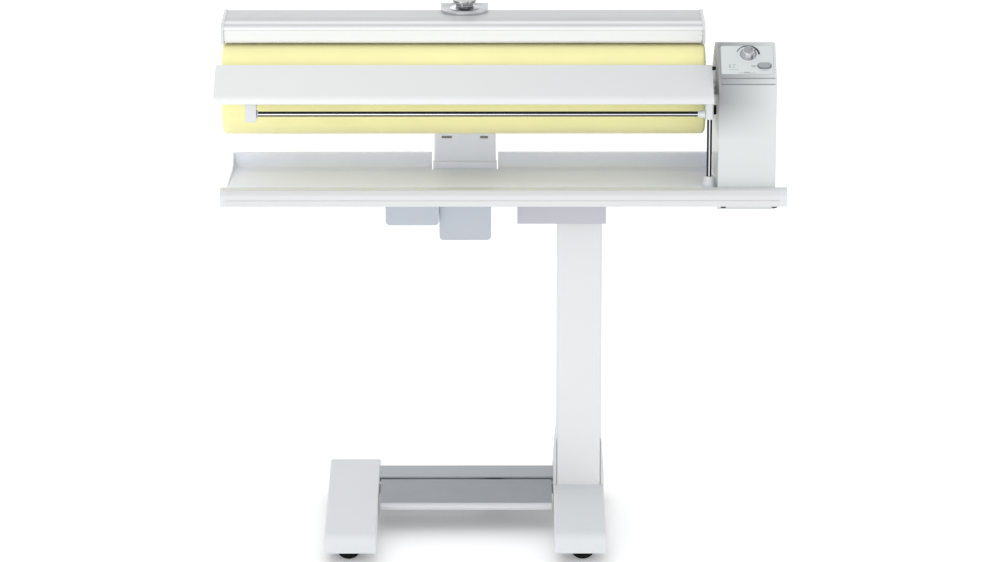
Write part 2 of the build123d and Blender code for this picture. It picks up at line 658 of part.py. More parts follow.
# ---------------------------------------------------------------- heater
def arc_band(inner, outer, start, end, xs):
    """Part of a ring round the roller's axis; angles in degrees, 0 at the back and 90 at the top."""
    def at(radius, angle):
        return (ROLLER_Y + radius * cos(radians(angle)), ROLLER_Z + radius * sin(radians(angle)))
    middle = (start + end) / 2
    edges = [ThreePointArc(at(outer, start), at(outer, middle), at(outer, end)),
             Line(at(outer, end), at(inner, end)),
             ThreePointArc(at(inner, end), at(inner, middle), at(inner, start)),
             Line(at(inner, start), at(outer, start))]
    return along_x(make_face(edges), xs)


def roller_space(radius, xs):
    return rod_x(ROLLER_Y, ROLLER_Z, radius, xs)


def yz(points):
    """Points given as distance from the front plane and height."""
    return [(Y_FRONT + y, z) for y, z in points]


SHOE_IN = ROLLER_R + SHOE_GAP
SHOE_OUT = SHOE_IN + SHOE_WALL
ELEMENT_R = 4.0
CAP_WALL = 5.0
SHELL_X = (HEATER_X[0] + CAP_WALL, HEATER_X[1] - CAP_WALL)
HOUSING_WALL = 3.0
CAM_AXIS = (Y_FRONT + 271, 592.0)
CAM_R = 16.0
CAM_OFFSET = 5.0
PRESS_MOTOR_X = (-104.0, -87.0)
MECHANISM_LOW = 553.0
GUARD_HINGE = (Y_FRONT + 155.6, 922.0)


def heater_shoe():
    """The polished trough that presses the linen against the roller."""
    shoe = arc_band(SHOE_IN, SHOE_OUT, -22, 92, (SHELL_X[0] + 1, SHELL_X[1] - 1))
    return shoe - group(*element_rods(ELEMENT_R))


def element_rods(radius):
    rods = []
    for angle in (-8, 18, 44, 70):
        y = ROLLER_Y + (SHOE_OUT + 0.5) * cos(radians(angle))
        z = ROLLER_Z + (SHOE_OUT + 0.5) * sin(radians(angle))
        for x0, x1 in element_spans(angle):
            rods.append(rod_x(y, z, radius, (x0, x1)))
    return rods


def element_spans(angle):
    """Element runs; the lowest one stops each side of the pressing arm."""
    ends = (SHELL_X[0] + 12, SHELL_X[1] - 12)
    if angle < 10:
        return ((ends[0], CASTING_X[0] - 6), (CASTING_X[1] + 6, ends[1]))
    return (ends,)


def heater_insulation():
    wool = arc_band(SHOE_OUT + 5, SHOE_OUT + 12, -14, 84, (SHELL_X[0] + 8, SHELL_X[1] - 8))
    return wool - block((CASTING_X[0] - 4, CASTING_X[1] + 4), (ROLLER_Y, Y_BACK), (760, 866))


def cover_outline():
    return yz([(158.5, 909), (158.5, 928.5), (153.5, 928.5), (154.5, 933), (171, 936.5), (295, 932.5),
               (310, 900), (310, 815), (296, 786), (252, 786), (170, 821), (165, 909)])


COVER_RADII = [0, 0, 0, 2, 3, 20, 22, 14, 10, 0, 0, 0]


def heater_cover():
    """The long hood over the shoe, open towards the roller and slotted for the pressing arm."""
    inner = yz([(161, 905), (161, 931.3), (171.5, 933.8), (293.5, 929.8), (307.3, 899), (307.3, 816),
                (294.5, 788.6), (250, 788.6), (170, 821), (165, 905)])
    inner_radii = [0, 0, 2, 17.5, 19.5, 12, 8, 0, 0, 0]
    hood = along_x(outline(cover_outline(), COVER_RADII), SHELL_X)
    hood -= along_x(outline(inner, inner_radii), (SHELL_X[0] - 1, SHELL_X[1] + 1))
    keep_front = block((-600, 600), (Y_FRONT + 161, Y_BACK), (700, 960))
    hood -= roller_space(SHOE_OUT + 0.4, (-600, 600)) & keep_front
    hood -= block((-600, 600), (Y_FRONT + 100, ROLLER_Y + 60), (700, 905))
    hood -= block((CASTING_X[0] - 5, CASTING_X[1] + 5), (Y_FRONT + 245, Y_FRONT + 303), (770, 806))
    groove = block((-600, 600), (Y_FRONT + 167, Y_FRONT + 168.4), (934.9, 940))
    return hood - groove - rod_z(KNOB_X, KNOB_Y, 9, (920, 945))


def cover_end_caps():
    points = yz([(152.5, 903), (152.5, 931), (156, 935), (171, 938), (296, 934), (311.5, 900), (311.5, 814),
                 (297, 784.5), (250, 784.5), (170, 821), (165, 903)])
    radii = [1, 2, 3, 3, 20, 22, 14, 10, 0, 0, 0]
    caps = []
    for xs in ((HEATER_X[0], SHELL_X[0]), (SHELL_X[1], HEATER_X[1])):
        cap = along_x(outline(points, radii), xs) - roller_space(ROLLER_R + 2, (-600, 600))
        caps.append(cap - rod_x(GUARD_HINGE[0], GUARD_HINGE[1], 1.5 + RUN, (xs[0] - 1, xs[1] + 1)))
    return group(*caps)


def finger_guard():
    """The flap along the feed edge; a finger pushes it in and it stops the roller."""
    xs = (SHELL_X[0] + 0.6, SHELL_X[1] - 0.6)
    y, z = GUARD_HINGE
    low = z - 12.5
    high = z + 6
    blade = outline([(y - 1.2, low), (y - 1.2, high), (y + 1.2, high), (y + 1.2, low + 1.5), (y + 0.6, low)])
    flap = along_x(blade, xs)
    for end, outward in ((xs[0], -1), (xs[1], 1)):
        inner_end = end - 8 * outward
        pin_end = end + 4 * outward
        flap += rod_x(y, z, 2.2, (min(end, inner_end), max(end, inner_end)))
        flap += rod_x(y, z, 1.5, (min(pin_end, inner_end), max(pin_end, inner_end)))
    return flap


def press_arm():
    """The casting that carries the shoe, with a tail that the cam pushes."""
    points = yz([(293, 690), (296, 750), (276, 778), (262, 790), (250, 800), (244, 866), (262, 864),
                 (283, 846), (289, 800), (312, 750), (317, 690), (312, 588), (298, 588)])
    radii = [4, 16, 8, 0, 0, 0, 6, 10, 14, 20, 10, 3, 3]
    arm = along_x(outline(points, radii), CASTING_X)
    arm += rod_x(ARM_PIVOT[0], ARM_PIVOT[1], 17, CASTING_X)
    arm -= roller_space(SHOE_OUT, (-600, 600))
    arm -= group(*element_rods(ELEMENT_R + 1))
    return arm - rod_x(ARM_PIVOT[0], ARM_PIVOT[1], 7 + RUN, (CASTING_X[0] - 1, CASTING_X[1] + 1))


def arm_housing():
    """The upright housing behind the tray, with a skirt at the tray's level."""
    ys = (Y_FRONT + 247, Y_FRONT + 341)
    box = round_block(ARM_X, ys, (BEAM_Z[0] + 4, 775), Axis.Z, 4)
    skirt_x = (ARM_X[0] - 2, ARM_X[1] + 2)
    skirt = round_block(skirt_x, (Y_FRONT + 238, ys[0] + 6), (TRAY_LOW - 2, 668), Axis.X, 2)
    inner_x = (ARM_X[0] + HOUSING_WALL, ARM_X[1] - HOUSING_WALL)
    inner_y = (ys[0] + HOUSING_WALL, ys[1] - HOUSING_WALL)
    housing = box + skirt - round_block(inner_x, inner_y, (600, 772), Axis.Z, 2)
    housing -= block((CASTING_X[0] - 4, CASTING_X[1] + 4), (Y_FRONT + 256, Y_FRONT + 332), (765, 780))
    return housing - rod_x(ARM_PIVOT[0], ARM_PIVOT[1], 7, (ARM_X[0] + 1, ARM_X[1] - 1))


def arm_pivot_pin():
    return rod_x(ARM_PIVOT[0], ARM_PIVOT[1], 7, (ARM_X[0] + 1, ARM_X[1] - 1))


def under_box(xs, ys, zs):
    outer = round_block(xs, ys, (zs[0], zs[1] + 20), Axis.Y, 8)
    inner_x = (xs[0] + SHEET, xs[1] - SHEET)
    inner = round_block(inner_x, (ys[0] + SHEET, ys[1] - SHEET), (zs[0] + SHEET, zs[1] + 30), Axis.Y, 6)
    return (outer - inner) & block(xs, ys, zs)


def mechanism_box():
    """The deeper box under the tray, round the cam and the press motor."""
    return under_box((-108, -17), (Y_FRONT + 140, Y_FRONT + 330), (MECHANISM_LOW, BEAM_Z[0]))


def electronics_box():
    return under_box((-202, -108.5), (BEAM_Y[0], BEAM_Y[1] - 4), (583, BEAM_Z[0]))


def press_motor():
    motor = block(PRESS_MOTOR_X, (Y_FRONT + 236, Y_FRONT + 294), (560, 620))
    return motor - rod_x(CAM_AXIS[0], CAM_AXIS[1], 5 + RUN, (-96, PRESS_MOTOR_X[1] + 1))


def press_cam():
    """An eccentric on the press motor's shaft; it points to the back while the shoe is down."""
    cam = rod_x(CAM_AXIS[0] + CAM_OFFSET, CAM_AXIS[1], CAM_R, (-72, -54))
    return cam + rod_x(CAM_AXIS[0], CAM_AXIS[1], 5, (-95, -50))


def knob_plate():
    """A chrome plate round in front and square behind, where it wraps the hood's back edge."""
    zs = (918, PLATE_TOP)
    xs = (KNOB_X - PLATE_R, KNOB_X + PLATE_R)
    disc = rod_z(KNOB_X, PLATE_Y, PLATE_R, zs) & block(xs, (PLATE_Y - PLATE_R, PLATE_Y + 1), zs)
    plate = disc + block(xs, (PLATE_Y, PLATE_Y + 38), zs)
    plate = fillet(plate.edges().group_by(Axis.Z)[-1], 1.2)
    plate -= along_x(outline(cover_outline(), COVER_RADII), SHELL_X)
    return plate - rod_z(KNOB_X, KNOB_Y, 6 + RUN, (920, 945))


def release_knob():
    """The release knob: a flared skirt, a fluted waist, a wider top and a spigot through the plate."""
    waist_r = 15.0
    rim_z = HEIGHT - 4.5
    skirt = Pos(KNOB_X, KNOB_Y, PLATE_TOP + 2.5) * Cone(25.5, 16, 4)
    waist = rod_z(KNOB_X, KNOB_Y, waist_r, (PLATE_TOP + 4, rim_z + 1))
    for step in range(12):
        angle = radians(30 * step)
        flute_x = KNOB_X + (waist_r + 1) * cos(angle)
        flute_y = KNOB_Y + (waist_r + 1) * sin(angle)
        waist -= rod_z(flute_x, flute_y, 2.2, (PLATE_TOP + 4.5, rim_z + 0.5))
    rim = rod_z(KNOB_X, KNOB_Y, 20.5, (rim_z, HEIGHT))
    rim = fillet(rim.edges().filter_by(GeomType.CIRCLE), 1.2)
    return skirt + waist + rim + rod_z(KNOB_X, KNOB_Y, 6, (928, PLATE_TOP + 2))


parts["heater_shoe"] = heater_shoe()
parts["heating_elements"] = group(*element_rods(ELEMENT_R))
parts["heater_insulation"] = heater_insulation()
parts["heater_cover"] = heater_cover()
parts["cover_end_caps"] = cover_end_caps()
parts["finger_guard"] = finger_guard()
parts["press_arm"] = press_arm()
parts["arm_housing"] = arm_housing()
parts["arm_pivot_pin"] = arm_pivot_pin()
parts["mechanism_box"] = mechanism_box()
parts["electronics_box"] = electronics_box()
parts["press_motor"] = press_motor()
parts["press_cam"] = press_cam()
parts["knob_plate"] = knob_plate()
parts["release_knob"] = release_knob()


# ---------------------------------------------------------------- feed gate
BOARD_CAP = 7.0


def board_face(inset):
    points = [(inset, 835 + inset), (inset, 845 - inset * 0.5), (4 + inset * 0.4, 849 - inset),
              (96, 881.5 - inset * 1.05), (99 - inset * 2, 879 - inset * 1.2), (97 - inset * 3, 876),
              (26, 835 + inset)]
    return yz(points)


BOARD_RADII = [3, 3, 3, 2, 0, 2, 4]


def feedboard():
    """The sloping board, a closed profile with a rounded front edge."""
    xs = (BOARD_X[0] + BOARD_CAP, BOARD_X[1] - BOARD_CAP)
    outer = along_x(outline(board_face(0), BOARD_RADII), xs)
    return outer - along_x(outline(board_face(2.2)), (xs[0] - 1, xs[1] + 1))


def feedboard_end_caps():
    caps = []
    for xs in ((BOARD_X[0], BOARD_X[0] + BOARD_CAP), (BOARD_X[1] - BOARD_CAP, BOARD_X[1])):
        caps.append(along_x(outline(board_face(0), BOARD_RADII), xs))
    return group(*caps)


CORNER_X = (350.5, 365.0)
CONE_START = 338.0
RAIL_BRACKET_X = (-438.5, -420.0)


def rail_brackets():
    """The block that holds the rail's free end, and the corner block on the upright rod."""
    free_end = round_block(RAIL_BRACKET_X, (Y_FRONT + 12, Y_FRONT + 45), (800, 835), Axis.X, 5)
    free_end -= along_x(outline(board_face(0), BOARD_RADII), BOARD_X)
    corner = round_block(CORNER_X, (Y_FRONT + 27, Y_FRONT + 60), (801.5, 835), Axis.Z, 6)
    cone_mid = (CONE_START + CORNER_X[0]) / 2
    corner += Pos(cone_mid, RAIL_Y, RAIL_Z) * Rot(0, 90, 0) * Cone(5.2, 7.5, CORNER_X[0] - CONE_START)
    corner -= along_x(outline(board_face(0), BOARD_RADII), BOARD_X)
    free_end -= rod_x(RAIL_Y, RAIL_Z, ROD_R, (RAIL_BRACKET_X[1] - 15, RAIL_BRACKET_X[1] + 1))
    corner -= rod_x(RAIL_Y, RAIL_Z, ROD_R, (CONE_START - 1, CORNER_X[0] + 6))
    corner -= rod_z(GATE_X, GATE_Y, ROD_R, (790, 829))
    return group(free_end, corner)


def gate_rods():
    """The laundry rail and the upright rod on which the whole gate swings."""
    rail = rod_x(RAIL_Y, RAIL_Z, ROD_R, (RAIL_BRACKET_X[1] - 15, CORNER_X[0] + 6))
    upright = rod_z(GATE_X, GATE_Y, ROD_R, (648, 829))
    return group(rail, upright)


def rod_boot():
    """A tapered socket in the tray for the upright rod."""
    collar = Pos(GATE_X, GATE_Y, 686) * Cone(12.5, 8, 20)
    boot = collar + rod_z(GATE_X, GATE_Y, 7.2, (645, 690)) - parts["tray_pan"]
    boot = boot.solids().sort_by(SortBy.VOLUME)[-1]
    return boot - rod_z(GATE_X, GATE_Y, ROD_R + RUN, (648, 700))


parts["feedboard"] = feedboard()
parts["feedboard_end_caps"] = feedboard_end_caps()
parts["rail_brackets"] = rail_brackets()
parts["gate_rods"] = gate_rods()
parts["rod_boot"] = rod_boot()


# ---------------------------------------------------------------- export
os.makedirs("parts", exist_ok=True)
for node, shape in parts.items():
    export_step(shape, f"parts/{node}.step")
print(len(parts), "nodes")
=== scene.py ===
# %% [markdown]
# # A free-standing rotary ironer, dressed in Blender
# The metal and plastic pieces of this machine come ready made from a CAD model. This lesson loads them as a
# fixed frame, gives every one of them a finish, and builds the pieces that CAD leaves plain: the cotton cover
# of the roller, the felt under it, knobs, screws, castor hub caps, seams and printed marks.
# One Blender unit is one metre. +X is the user's right, +Y the back and +Z up.

# %% Load the frame
import bmesh
import bpy
import json
from math import atan2, cos, pi, radians, sin
from mathutils import Matrix, Vector, noise


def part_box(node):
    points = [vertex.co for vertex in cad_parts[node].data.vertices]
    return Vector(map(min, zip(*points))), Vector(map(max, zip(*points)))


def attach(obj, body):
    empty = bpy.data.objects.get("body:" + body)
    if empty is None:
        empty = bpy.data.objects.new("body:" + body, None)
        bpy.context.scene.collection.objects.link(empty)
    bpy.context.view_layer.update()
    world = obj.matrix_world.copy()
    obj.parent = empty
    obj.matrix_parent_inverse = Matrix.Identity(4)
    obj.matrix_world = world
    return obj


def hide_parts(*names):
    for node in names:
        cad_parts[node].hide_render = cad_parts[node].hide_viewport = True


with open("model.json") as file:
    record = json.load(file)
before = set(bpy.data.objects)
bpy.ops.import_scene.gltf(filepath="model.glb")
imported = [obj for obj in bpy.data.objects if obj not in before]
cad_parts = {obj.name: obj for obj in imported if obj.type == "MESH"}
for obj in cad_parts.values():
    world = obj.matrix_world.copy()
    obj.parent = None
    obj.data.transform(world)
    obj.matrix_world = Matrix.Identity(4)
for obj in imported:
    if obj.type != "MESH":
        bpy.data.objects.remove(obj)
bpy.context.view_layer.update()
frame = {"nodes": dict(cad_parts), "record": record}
nodes = frame["nodes"]
slot_of_node = {row["node"]: row["material_slot"] for row in frame["record"]["subparts"]}

# %% [markdown]
# ## The camera
# A long lens about eight metres away looks down at the machine by just under seventeen degrees. A long lens
# keeps upright edges almost parallel, as a catalogue picture does. A short lens close by would have made the
# front of the feet look much larger than the head.

# %% Camera
TILT_DOWN = 16.843
TURN_RIGHT = 0.0947
CAMERA_AT = (-0.0151, -8.1557, 2.9321)
LENS_MM = 173.35

camera_data = bpy.data.cameras.new("catalogue_camera")
camera_data.lens = LENS_MM
camera_data.sensor_width = 36.0
camera_data.clip_end = 200.0
camera = bpy.data.objects.new("catalogue_camera", camera_data)
camera.location = CAMERA_AT
camera.rotation_euler = (radians(90 - TILT_DOWN), 0, radians(-TURN_RIGHT))
bpy.context.scene.collection.objects.link(camera)
bpy.context.scene.camera = camera
print("camera at", CAMERA_AT, "lens", LENS_MM)

# %% [markdown]
# ## Floor and light
# The machine is white on white, so the light has to draw its edges. The sky gives an even fill, as a white
# studio tent does. A low, wide light from the front reaches under the roller to the tray, and stands to the
# left, so that every long panel gets a little darker towards the head. The light above stays weak, so that the
# flat top of the hood looks greyer than its front; the rest of that grey is painted shade in the hood's colour.

# %% Floor and studio light
FLOOR_SIZE = 90.0

floor_mesh = bmesh.new()
bmesh.ops.create_grid(floor_mesh, x_segments=1, y_segments=1, size=FLOOR_SIZE / 2)
floor_data = bpy.data.meshes.new("studio_floor")
floor_mesh.to_mesh(floor_data)
floor_mesh.free()
floor = bpy.data.objects.new("studio_floor", floor_data)
bpy.context.scene.collection.objects.link(floor)

floor_paint = bpy.data.materials.new("studio_floor")
floor_paint.use_nodes = True
floor_shader = floor_paint.node_tree.nodes["Principled BSDF"]
floor_shader.inputs["Base Color"].default_value = (0.97, 0.97, 0.97, 1)
floor_shader.inputs["Roughness"].default_value = 0.9
floor_shader.inputs["Emission Color"].default_value = (1, 1, 1, 1)
floor_shader.inputs["Emission Strength"].default_value = 0.16
floor_data.materials.append(floor_paint)


def soft_light(name, place, target, size, watts):
    """An area light at a place, turned towards a target."""
    data = bpy.data.lights.new(name, "AREA")
    data.shape = "RECTANGLE"
    data.size, data.size_y = size
    data.energy = watts
    lamp = bpy.data.objects.new(name, data)
    lamp.location = place
    lamp.rotation_mode = "QUATERNION"
    lamp.rotation_quaternion = (Vector(target) - Vector(place)).to_track_quat("-Z", "Y")
    bpy.context.scene.collection.objects.link(lamp)
    print(name, watts, "W")


MIDDLE = (0.0, 0.0, 0.6)
soft_light("key_above", (-1.2, -2.2, 4.6), MIDDLE, (4.0, 3.0), 15)
soft_light("front_fill", (-2.2, -6.2, 1.0), MIDDLE, (4.4, 2.0), 70)
soft_light("right_side", (4.2, 0.4, 2.0), MIDDLE, (2.5, 2.5), 6)
soft_light("back_rim", (-1.5, 4.5, 3.2), MIDDLE, (3.0, 2.0), 12)

studio_world = bpy.data.worlds.new("studio_world")
studio_world.use_nodes = True
studio_world.node_tree.nodes["Background"].inputs["Color"].default_value = (1.0, 1.0, 1.0, 1)
studio_world.node_tree.nodes["Background"].inputs["Strength"].default_value = 0.95
bpy.context.scene.world = studio_world
bpy.context.scene.view_settings.view_transform = "Standard"

# %% [markdown]
# ## A way to make finishes
# A real finish is never one flat colour. Moulded plastic has a fine grain, powder coat has a soft orange
# peel, brushed steel has long scratches. Each helper below adds a few nodes to one Principled shader: noise
# on Object coordinates, which are metres here, drives a small change of colour, of roughness and of height.

# %% Material helpers
def new_finish(name, colour, roughness, metallic=0.0):
    """A material with its nodes, its shader and its Object coordinates."""
    material = bpy.data.materials.new(name)
    material.use_nodes = True
    tree = material.node_tree
    shader = tree.nodes["Principled BSDF"]
    shader.inputs["Base Color"].default_value = (*colour, 1)
    shader.inputs["Roughness"].default_value = roughness
    shader.inputs["Metallic"].default_value = metallic
    place = tree.nodes.new("ShaderNodeTexCoord").outputs["Object"]
    return material, tree, shader, place


def stretched(tree, place, scale):
    """The coordinates stretched by three factors, for brushed or woven patterns."""
    mapping = tree.nodes.new("ShaderNodeMapping")
    mapping.inputs["Scale"].default_value = scale
    tree.links.new(place, mapping.inputs["Vector"])
    return mapping.outputs["Vector"]


def noise_value(tree, place, scale, detail=3.0, rough=0.55):
    node = tree.nodes.new("ShaderNodeTexNoise")
    node.inputs["Scale"].default_value = scale
    node.inputs["Detail"].default_value = detail
    node.inputs["Roughness"].default_value = rough
    tree.links.new(place, node.inputs["Vector"])
    return node.outputs["Fac"]


def ramp(tree, value, low, high, start=0.35, end=0.65):
    """A value from 0 to 1 turned into a colour between low and high."""
    node = tree.nodes.new("ShaderNodeValToRGB")
    node.color_ramp.elements[0].position = start
    node.color_ramp.elements[1].position = end
    node.color_ramp.elements[0].color = (*low, 1)
    node.color_ramp.elements[1].color = (*high, 1)
    tree.links.new(value, node.inputs["Fac"])
    return node.outputs["Color"]


def to_range(tree, value, low, high, start=0.3, end=0.7):
    node = tree.nodes.new("ShaderNodeMapRange")
    for socket, number in (("From Min", start), ("From Max", end), ("To Min", low), ("To Max", high)):
        node.inputs[socket].default_value = number
    tree.links.new(value, node.inputs["Value"])
    return node.outputs["Result"]


def add_bump(tree, shader, value, height, strength=1.0, under=None):
    """Height in metres on top of an earlier bump, if there is one."""
    node = tree.nodes.new("ShaderNodeBump")
    node.inputs["Distance"].default_value = height
    node.inputs["Strength"].default_value = strength
    tree.links.new(value, node.inputs["Height"])
    if under:
        tree.links.new(under, node.inputs["Normal"])
    tree.links.new(node.outputs["Normal"], shader.inputs["Normal"])
    return node.outputs["Normal"]


def shade(colour, factor):
    return tuple(min(1.0, channel * factor) for channel in colour)


print("material helpers ready")

# %% [markdown]
# ## White plastic and white lacquer
# Feet, head and end caps are moulded plastic: satin, with a fine spark-eroded grain. Column, tray and lip
# are steel with a smooth powder coat, which is slightly glossier and has a wide, shallow orange peel. Both
# whites are cool, and both get a faint change of tone over a hand's width, as large white panels do.

# %% White finishes
def moulded(name, colour, roughness, grain=1400.0, depth=0.00004, tone=0.985):
    """Moulded plastic: fine grain, slight change of tone, faint wipe marks in the gloss."""
    material, tree, shader, place = new_finish(name, colour, roughness)
    wide = noise_value(tree, place, 7.0, 2.0)
    tree.links.new(ramp(tree, wide, shade(colour, tone), colour), shader.inputs["Base Color"])
    wipes = noise_value(tree, stretched(tree, place, (1.0, 3.0, 1.0)), 24.0, 5.0)
    tree.links.new(to_range(tree, wipes, roughness - 0.05, roughness + 0.07), shader.inputs["Roughness"])
    add_bump(tree, shader, noise_value(tree, place, grain, 2.0), depth, 0.5)
    return material


def powder_coat(name, colour, roughness, peel=260.0, depth=0.00005, tone=0.985, coat=0.35):
    """Powder coat or lacquer on sheet metal: a clear top layer over a shallow orange peel."""
    material, tree, shader, place = new_finish(name, colour, roughness)
    wide = noise_value(tree, place, 5.0, 2.0)
    tree.links.new(ramp(tree, wide, shade(colour, tone), colour), shader.inputs["Base Color"])
    handled = noise_value(tree, place, 30.0, 6.0)
    tree.links.new(to_range(tree, handled, roughness - 0.04, roughness + 0.06), shader.inputs["Roughness"])
    shader.inputs["Coat Weight"].default_value = coat
    shader.inputs["Coat Roughness"].default_value = 0.22
    add_bump(tree, shader, noise_value(tree, place, peel, 1.0), depth, 0.35)
    return material


finishes = {
    "white_plastic": moulded("white_moulded_plastic", (0.66, 0.68, 0.69), 0.38),
    "white_metal": powder_coat("white_powder_coat", (0.73, 0.735, 0.745), 0.34),
    "cover_white": moulded("hood_end_plastic", (0.70, 0.71, 0.72), 0.30, 1800.0, 0.00003),
    "grey_panel": powder_coat("bluish_grey_coat", (0.46, 0.49, 0.54), 0.38),
    "fascia_grey": moulded("fascia_satin", (0.62, 0.655, 0.655), 0.36, 1800.0, 0.00003),
    "pedal_grey": powder_coat("foot_bar_grey", (0.205, 0.225, 0.248), 0.40, 320.0, 0.00005),
}
print("white and grey finishes:", sorted(finishes))

# %% [markdown]
# ## Metals
# Polished chrome is almost a mirror with faint cleaning marks. Turned steel has fine rings, zinc plate has
# soft blotches, and a casting has a sandy skin. Each metal differs in its roughness more than in its colour,
# so the noise goes to roughness first.

# %% Metal finishes
def polished(name, colour, roughness):
    material, tree, shader, place = new_finish(name, colour, roughness, 1.0)
    marks = noise_value(tree, stretched(tree, place, (1.0, 6.0, 6.0)), 40.0, 6.0)
    tree.links.new(to_range(tree, marks, roughness * 0.7, roughness * 1.8), shader.inputs["Roughness"])
    add_bump(tree, shader, noise_value(tree, place, 90.0, 2.0), 0.00001, 0.3)
    return material


def brushed(name, colour, roughness, along=(4.0, 900.0, 900.0)):
    """Fine scratches that run along X."""
    material, tree, shader, place = new_finish(name, colour, roughness, 1.0)
    lines = noise_value(tree, stretched(tree, place, along), 1.0, 4.0)
    tree.links.new(ramp(tree, lines, shade(colour, 0.86), colour), shader.inputs["Base Color"])
    tree.links.new(to_range(tree, lines, roughness - 0.08, roughness + 0.12), shader.inputs["Roughness"])
    add_bump(tree, shader, lines, 0.00002, 0.4)
    return material


def plated(name, colour, roughness, blotch=30.0, metallic=1.0, depth=0.00004, grain=700.0):
    """Zinc plate, casting skin or black oxide: blotches in the colour and a grainy skin."""
    material, tree, shader, place = new_finish(name, colour, roughness, metallic)
    blotches = noise_value(tree, place, blotch, 5.0)
    tree.links.new(ramp(tree, blotches, shade(colour, 0.82), shade(colour, 1.08)), shader.inputs["Base Color"])
    tree.links.new(to_range(tree, blotches, roughness - 0.07, roughness + 0.1), shader.inputs["Roughness"])
    add_bump(tree, shader, noise_value(tree, place, grain, 3.0), depth, 0.6)
    return material


finishes["chrome"] = polished("polished_chrome", (0.55, 0.56, 0.58), 0.10)
finishes["bright_steel"] = brushed("turned_steel", (0.60, 0.60, 0.61), 0.28)
finishes["polished_aluminium"] = brushed("polished_shoe", (0.80, 0.80, 0.81), 0.16)
finishes["frame_steel"] = plated("zinc_plated_steel", (0.52, 0.53, 0.55), 0.42)
finishes["cast_aluminium"] = plated("cast_aluminium", (0.58, 0.59, 0.60), 0.50, 18.0, 1.0, 0.00012, 420.0)
finishes["motor_black"] = plated("motor_black_enamel", (0.035, 0.035, 0.04), 0.45, 22.0, 0.0)
finishes["brass"] = plated("machined_brass", (0.72, 0.53, 0.22), 0.26, 60.0)
print("metals added:", len(finishes), "finishes so far")

# %% [markdown]
# ## Black plastic, rubber and nylon
# The castor hoods and the lock lever are black moulded plastic, the tyres and the little bumpers are rubber,
# and the gear is natural nylon. Rubber is rougher and picks up dust, which shows as a lighter bloom.

# %% Dark plastic, rubber, nylon
def dusty(name, colour, bloom, roughness):
    """A dark soft surface with a dusty bloom in patches."""
    material, tree, shader, place = new_finish(name, colour, roughness)
    dust = noise_value(tree, place, 55.0, 6.0)
    tree.links.new(ramp(tree, dust, colour, bloom, 0.45, 0.8), shader.inputs["Base Color"])
    tree.links.new(to_range(tree, dust, roughness - 0.08, roughness + 0.12), shader.inputs["Roughness"])
    shader.inputs["Specular IOR Level"].default_value = 0.1
    add_bump(tree, shader, noise_value(tree, place, 1100.0, 2.0), 0.00005, 0.6)
    return material


finishes["black_plastic"] = dusty("black_moulded_plastic", (0.008, 0.008, 0.009), (0.018, 0.018, 0.019), 0.42)
finishes["tyre_black"] = dusty("castor_rubber", (0.004, 0.004, 0.004), (0.016, 0.016, 0.015), 0.62)
finishes["nylon"] = moulded("natural_nylon", (0.72, 0.71, 0.65), 0.45, 900.0, 0.00004)
print("dark plastics and nylon added")

# %% [markdown]
# ## Cotton, felt and mineral wool
# The roller's cover is plain woven cotton. The weave is two sets of fine waves, one along and one round the
# roller, on the cover's own UV map, which is laid out in metres, so that a thread is half a millimetre
# whatever the shape does. A sheen on the shader gives the soft edge light of cloth. Felt and wool are matted
# fibres, so noise at two scales does for them.

# %% Fabric finishes
THREAD_PITCH = 0.0006
WAVE_PERIOD = 2 * pi / 20          # one period of Blender's wave texture at scale 1


def thread_wave(tree, uv, direction):
    wave = tree.nodes.new("ShaderNodeTexWave")
    wave.bands_direction = direction
    wave.inputs["Scale"].default_value = WAVE_PERIOD / THREAD_PITCH
    wave.inputs["Distortion"].default_value = 1.2
    wave.inputs["Detail"].default_value = 1.0
    wave.inputs["Detail Scale"].default_value = 0.02
    tree.links.new(uv, wave.inputs["Vector"])
    return wave.outputs["Fac"]


def woven(name, colour, roughness, tone=0.93):
    """Plain weave: the higher of two thread waves, over soft patches of tone."""
    material, tree, shader, place = new_finish(name, colour, roughness)
    uv = place.node.outputs["UV"]
    over = tree.nodes.new("ShaderNodeMath")
    over.operation = "MAXIMUM"
    tree.links.new(thread_wave(tree, uv, "X"), over.inputs[0])
    tree.links.new(thread_wave(tree, uv, "Y"), over.inputs[1])
    patches = noise_value(tree, place, 9.0, 3.0)
    base = ramp(tree, patches, shade(colour, tone), colour, 0.25, 0.75)
    threads = tree.nodes.new("ShaderNodeMix")
    threads.data_type = "RGBA"
    threads.blend_type = "MULTIPLY"
    threads.inputs["Factor"].default_value = 1.0
    tree.links.new(base, threads.inputs[6])
    tree.links.new(ramp(tree, over.outputs[0], (0.94, 0.94, 0.93), (1, 1, 1), 0.2, 0.9), threads.inputs[7])
    tree.links.new(threads.outputs[2], shader.inputs["Base Color"])
    shader.inputs["Sheen Weight"].default_value = 0.25
    shader.inputs["Sheen Roughness"].default_value = 0.5
    add_bump(tree, shader, over.outputs[0], 0.00012, 0.5)
    return material


def matted(name, colour, scale):
    """Felt or mineral wool: fibres in every direction."""
    material, tree, shader, place = new_finish(name, colour, 0.95)
    fibres = noise_value(tree, place, scale, 8.0, 0.75)
    tree.links.new(ramp(tree, fibres, shade(colour, 0.7), shade(colour, 1.05)), shader.inputs["Base Color"])
    shader.inputs["Sheen Weight"].default_value = 0.3
    add_bump(tree, shader, fibres, 0.0006, 0.7)
    return material


CLOTH_YELLOW = (0.97, 0.93, 0.46)
finishes["cloth"] = woven("cotton_cover", CLOTH_YELLOW, 0.85)
finishes["padding"] = matted("wool_felt", (0.70, 0.68, 0.60), 260.0)
finishes["wool"] = matted("mineral_wool", (0.66, 0.61, 0.44), 140.0)
print(len(finishes), "finishes for", len(set(slot_of_node.values())), "slots")

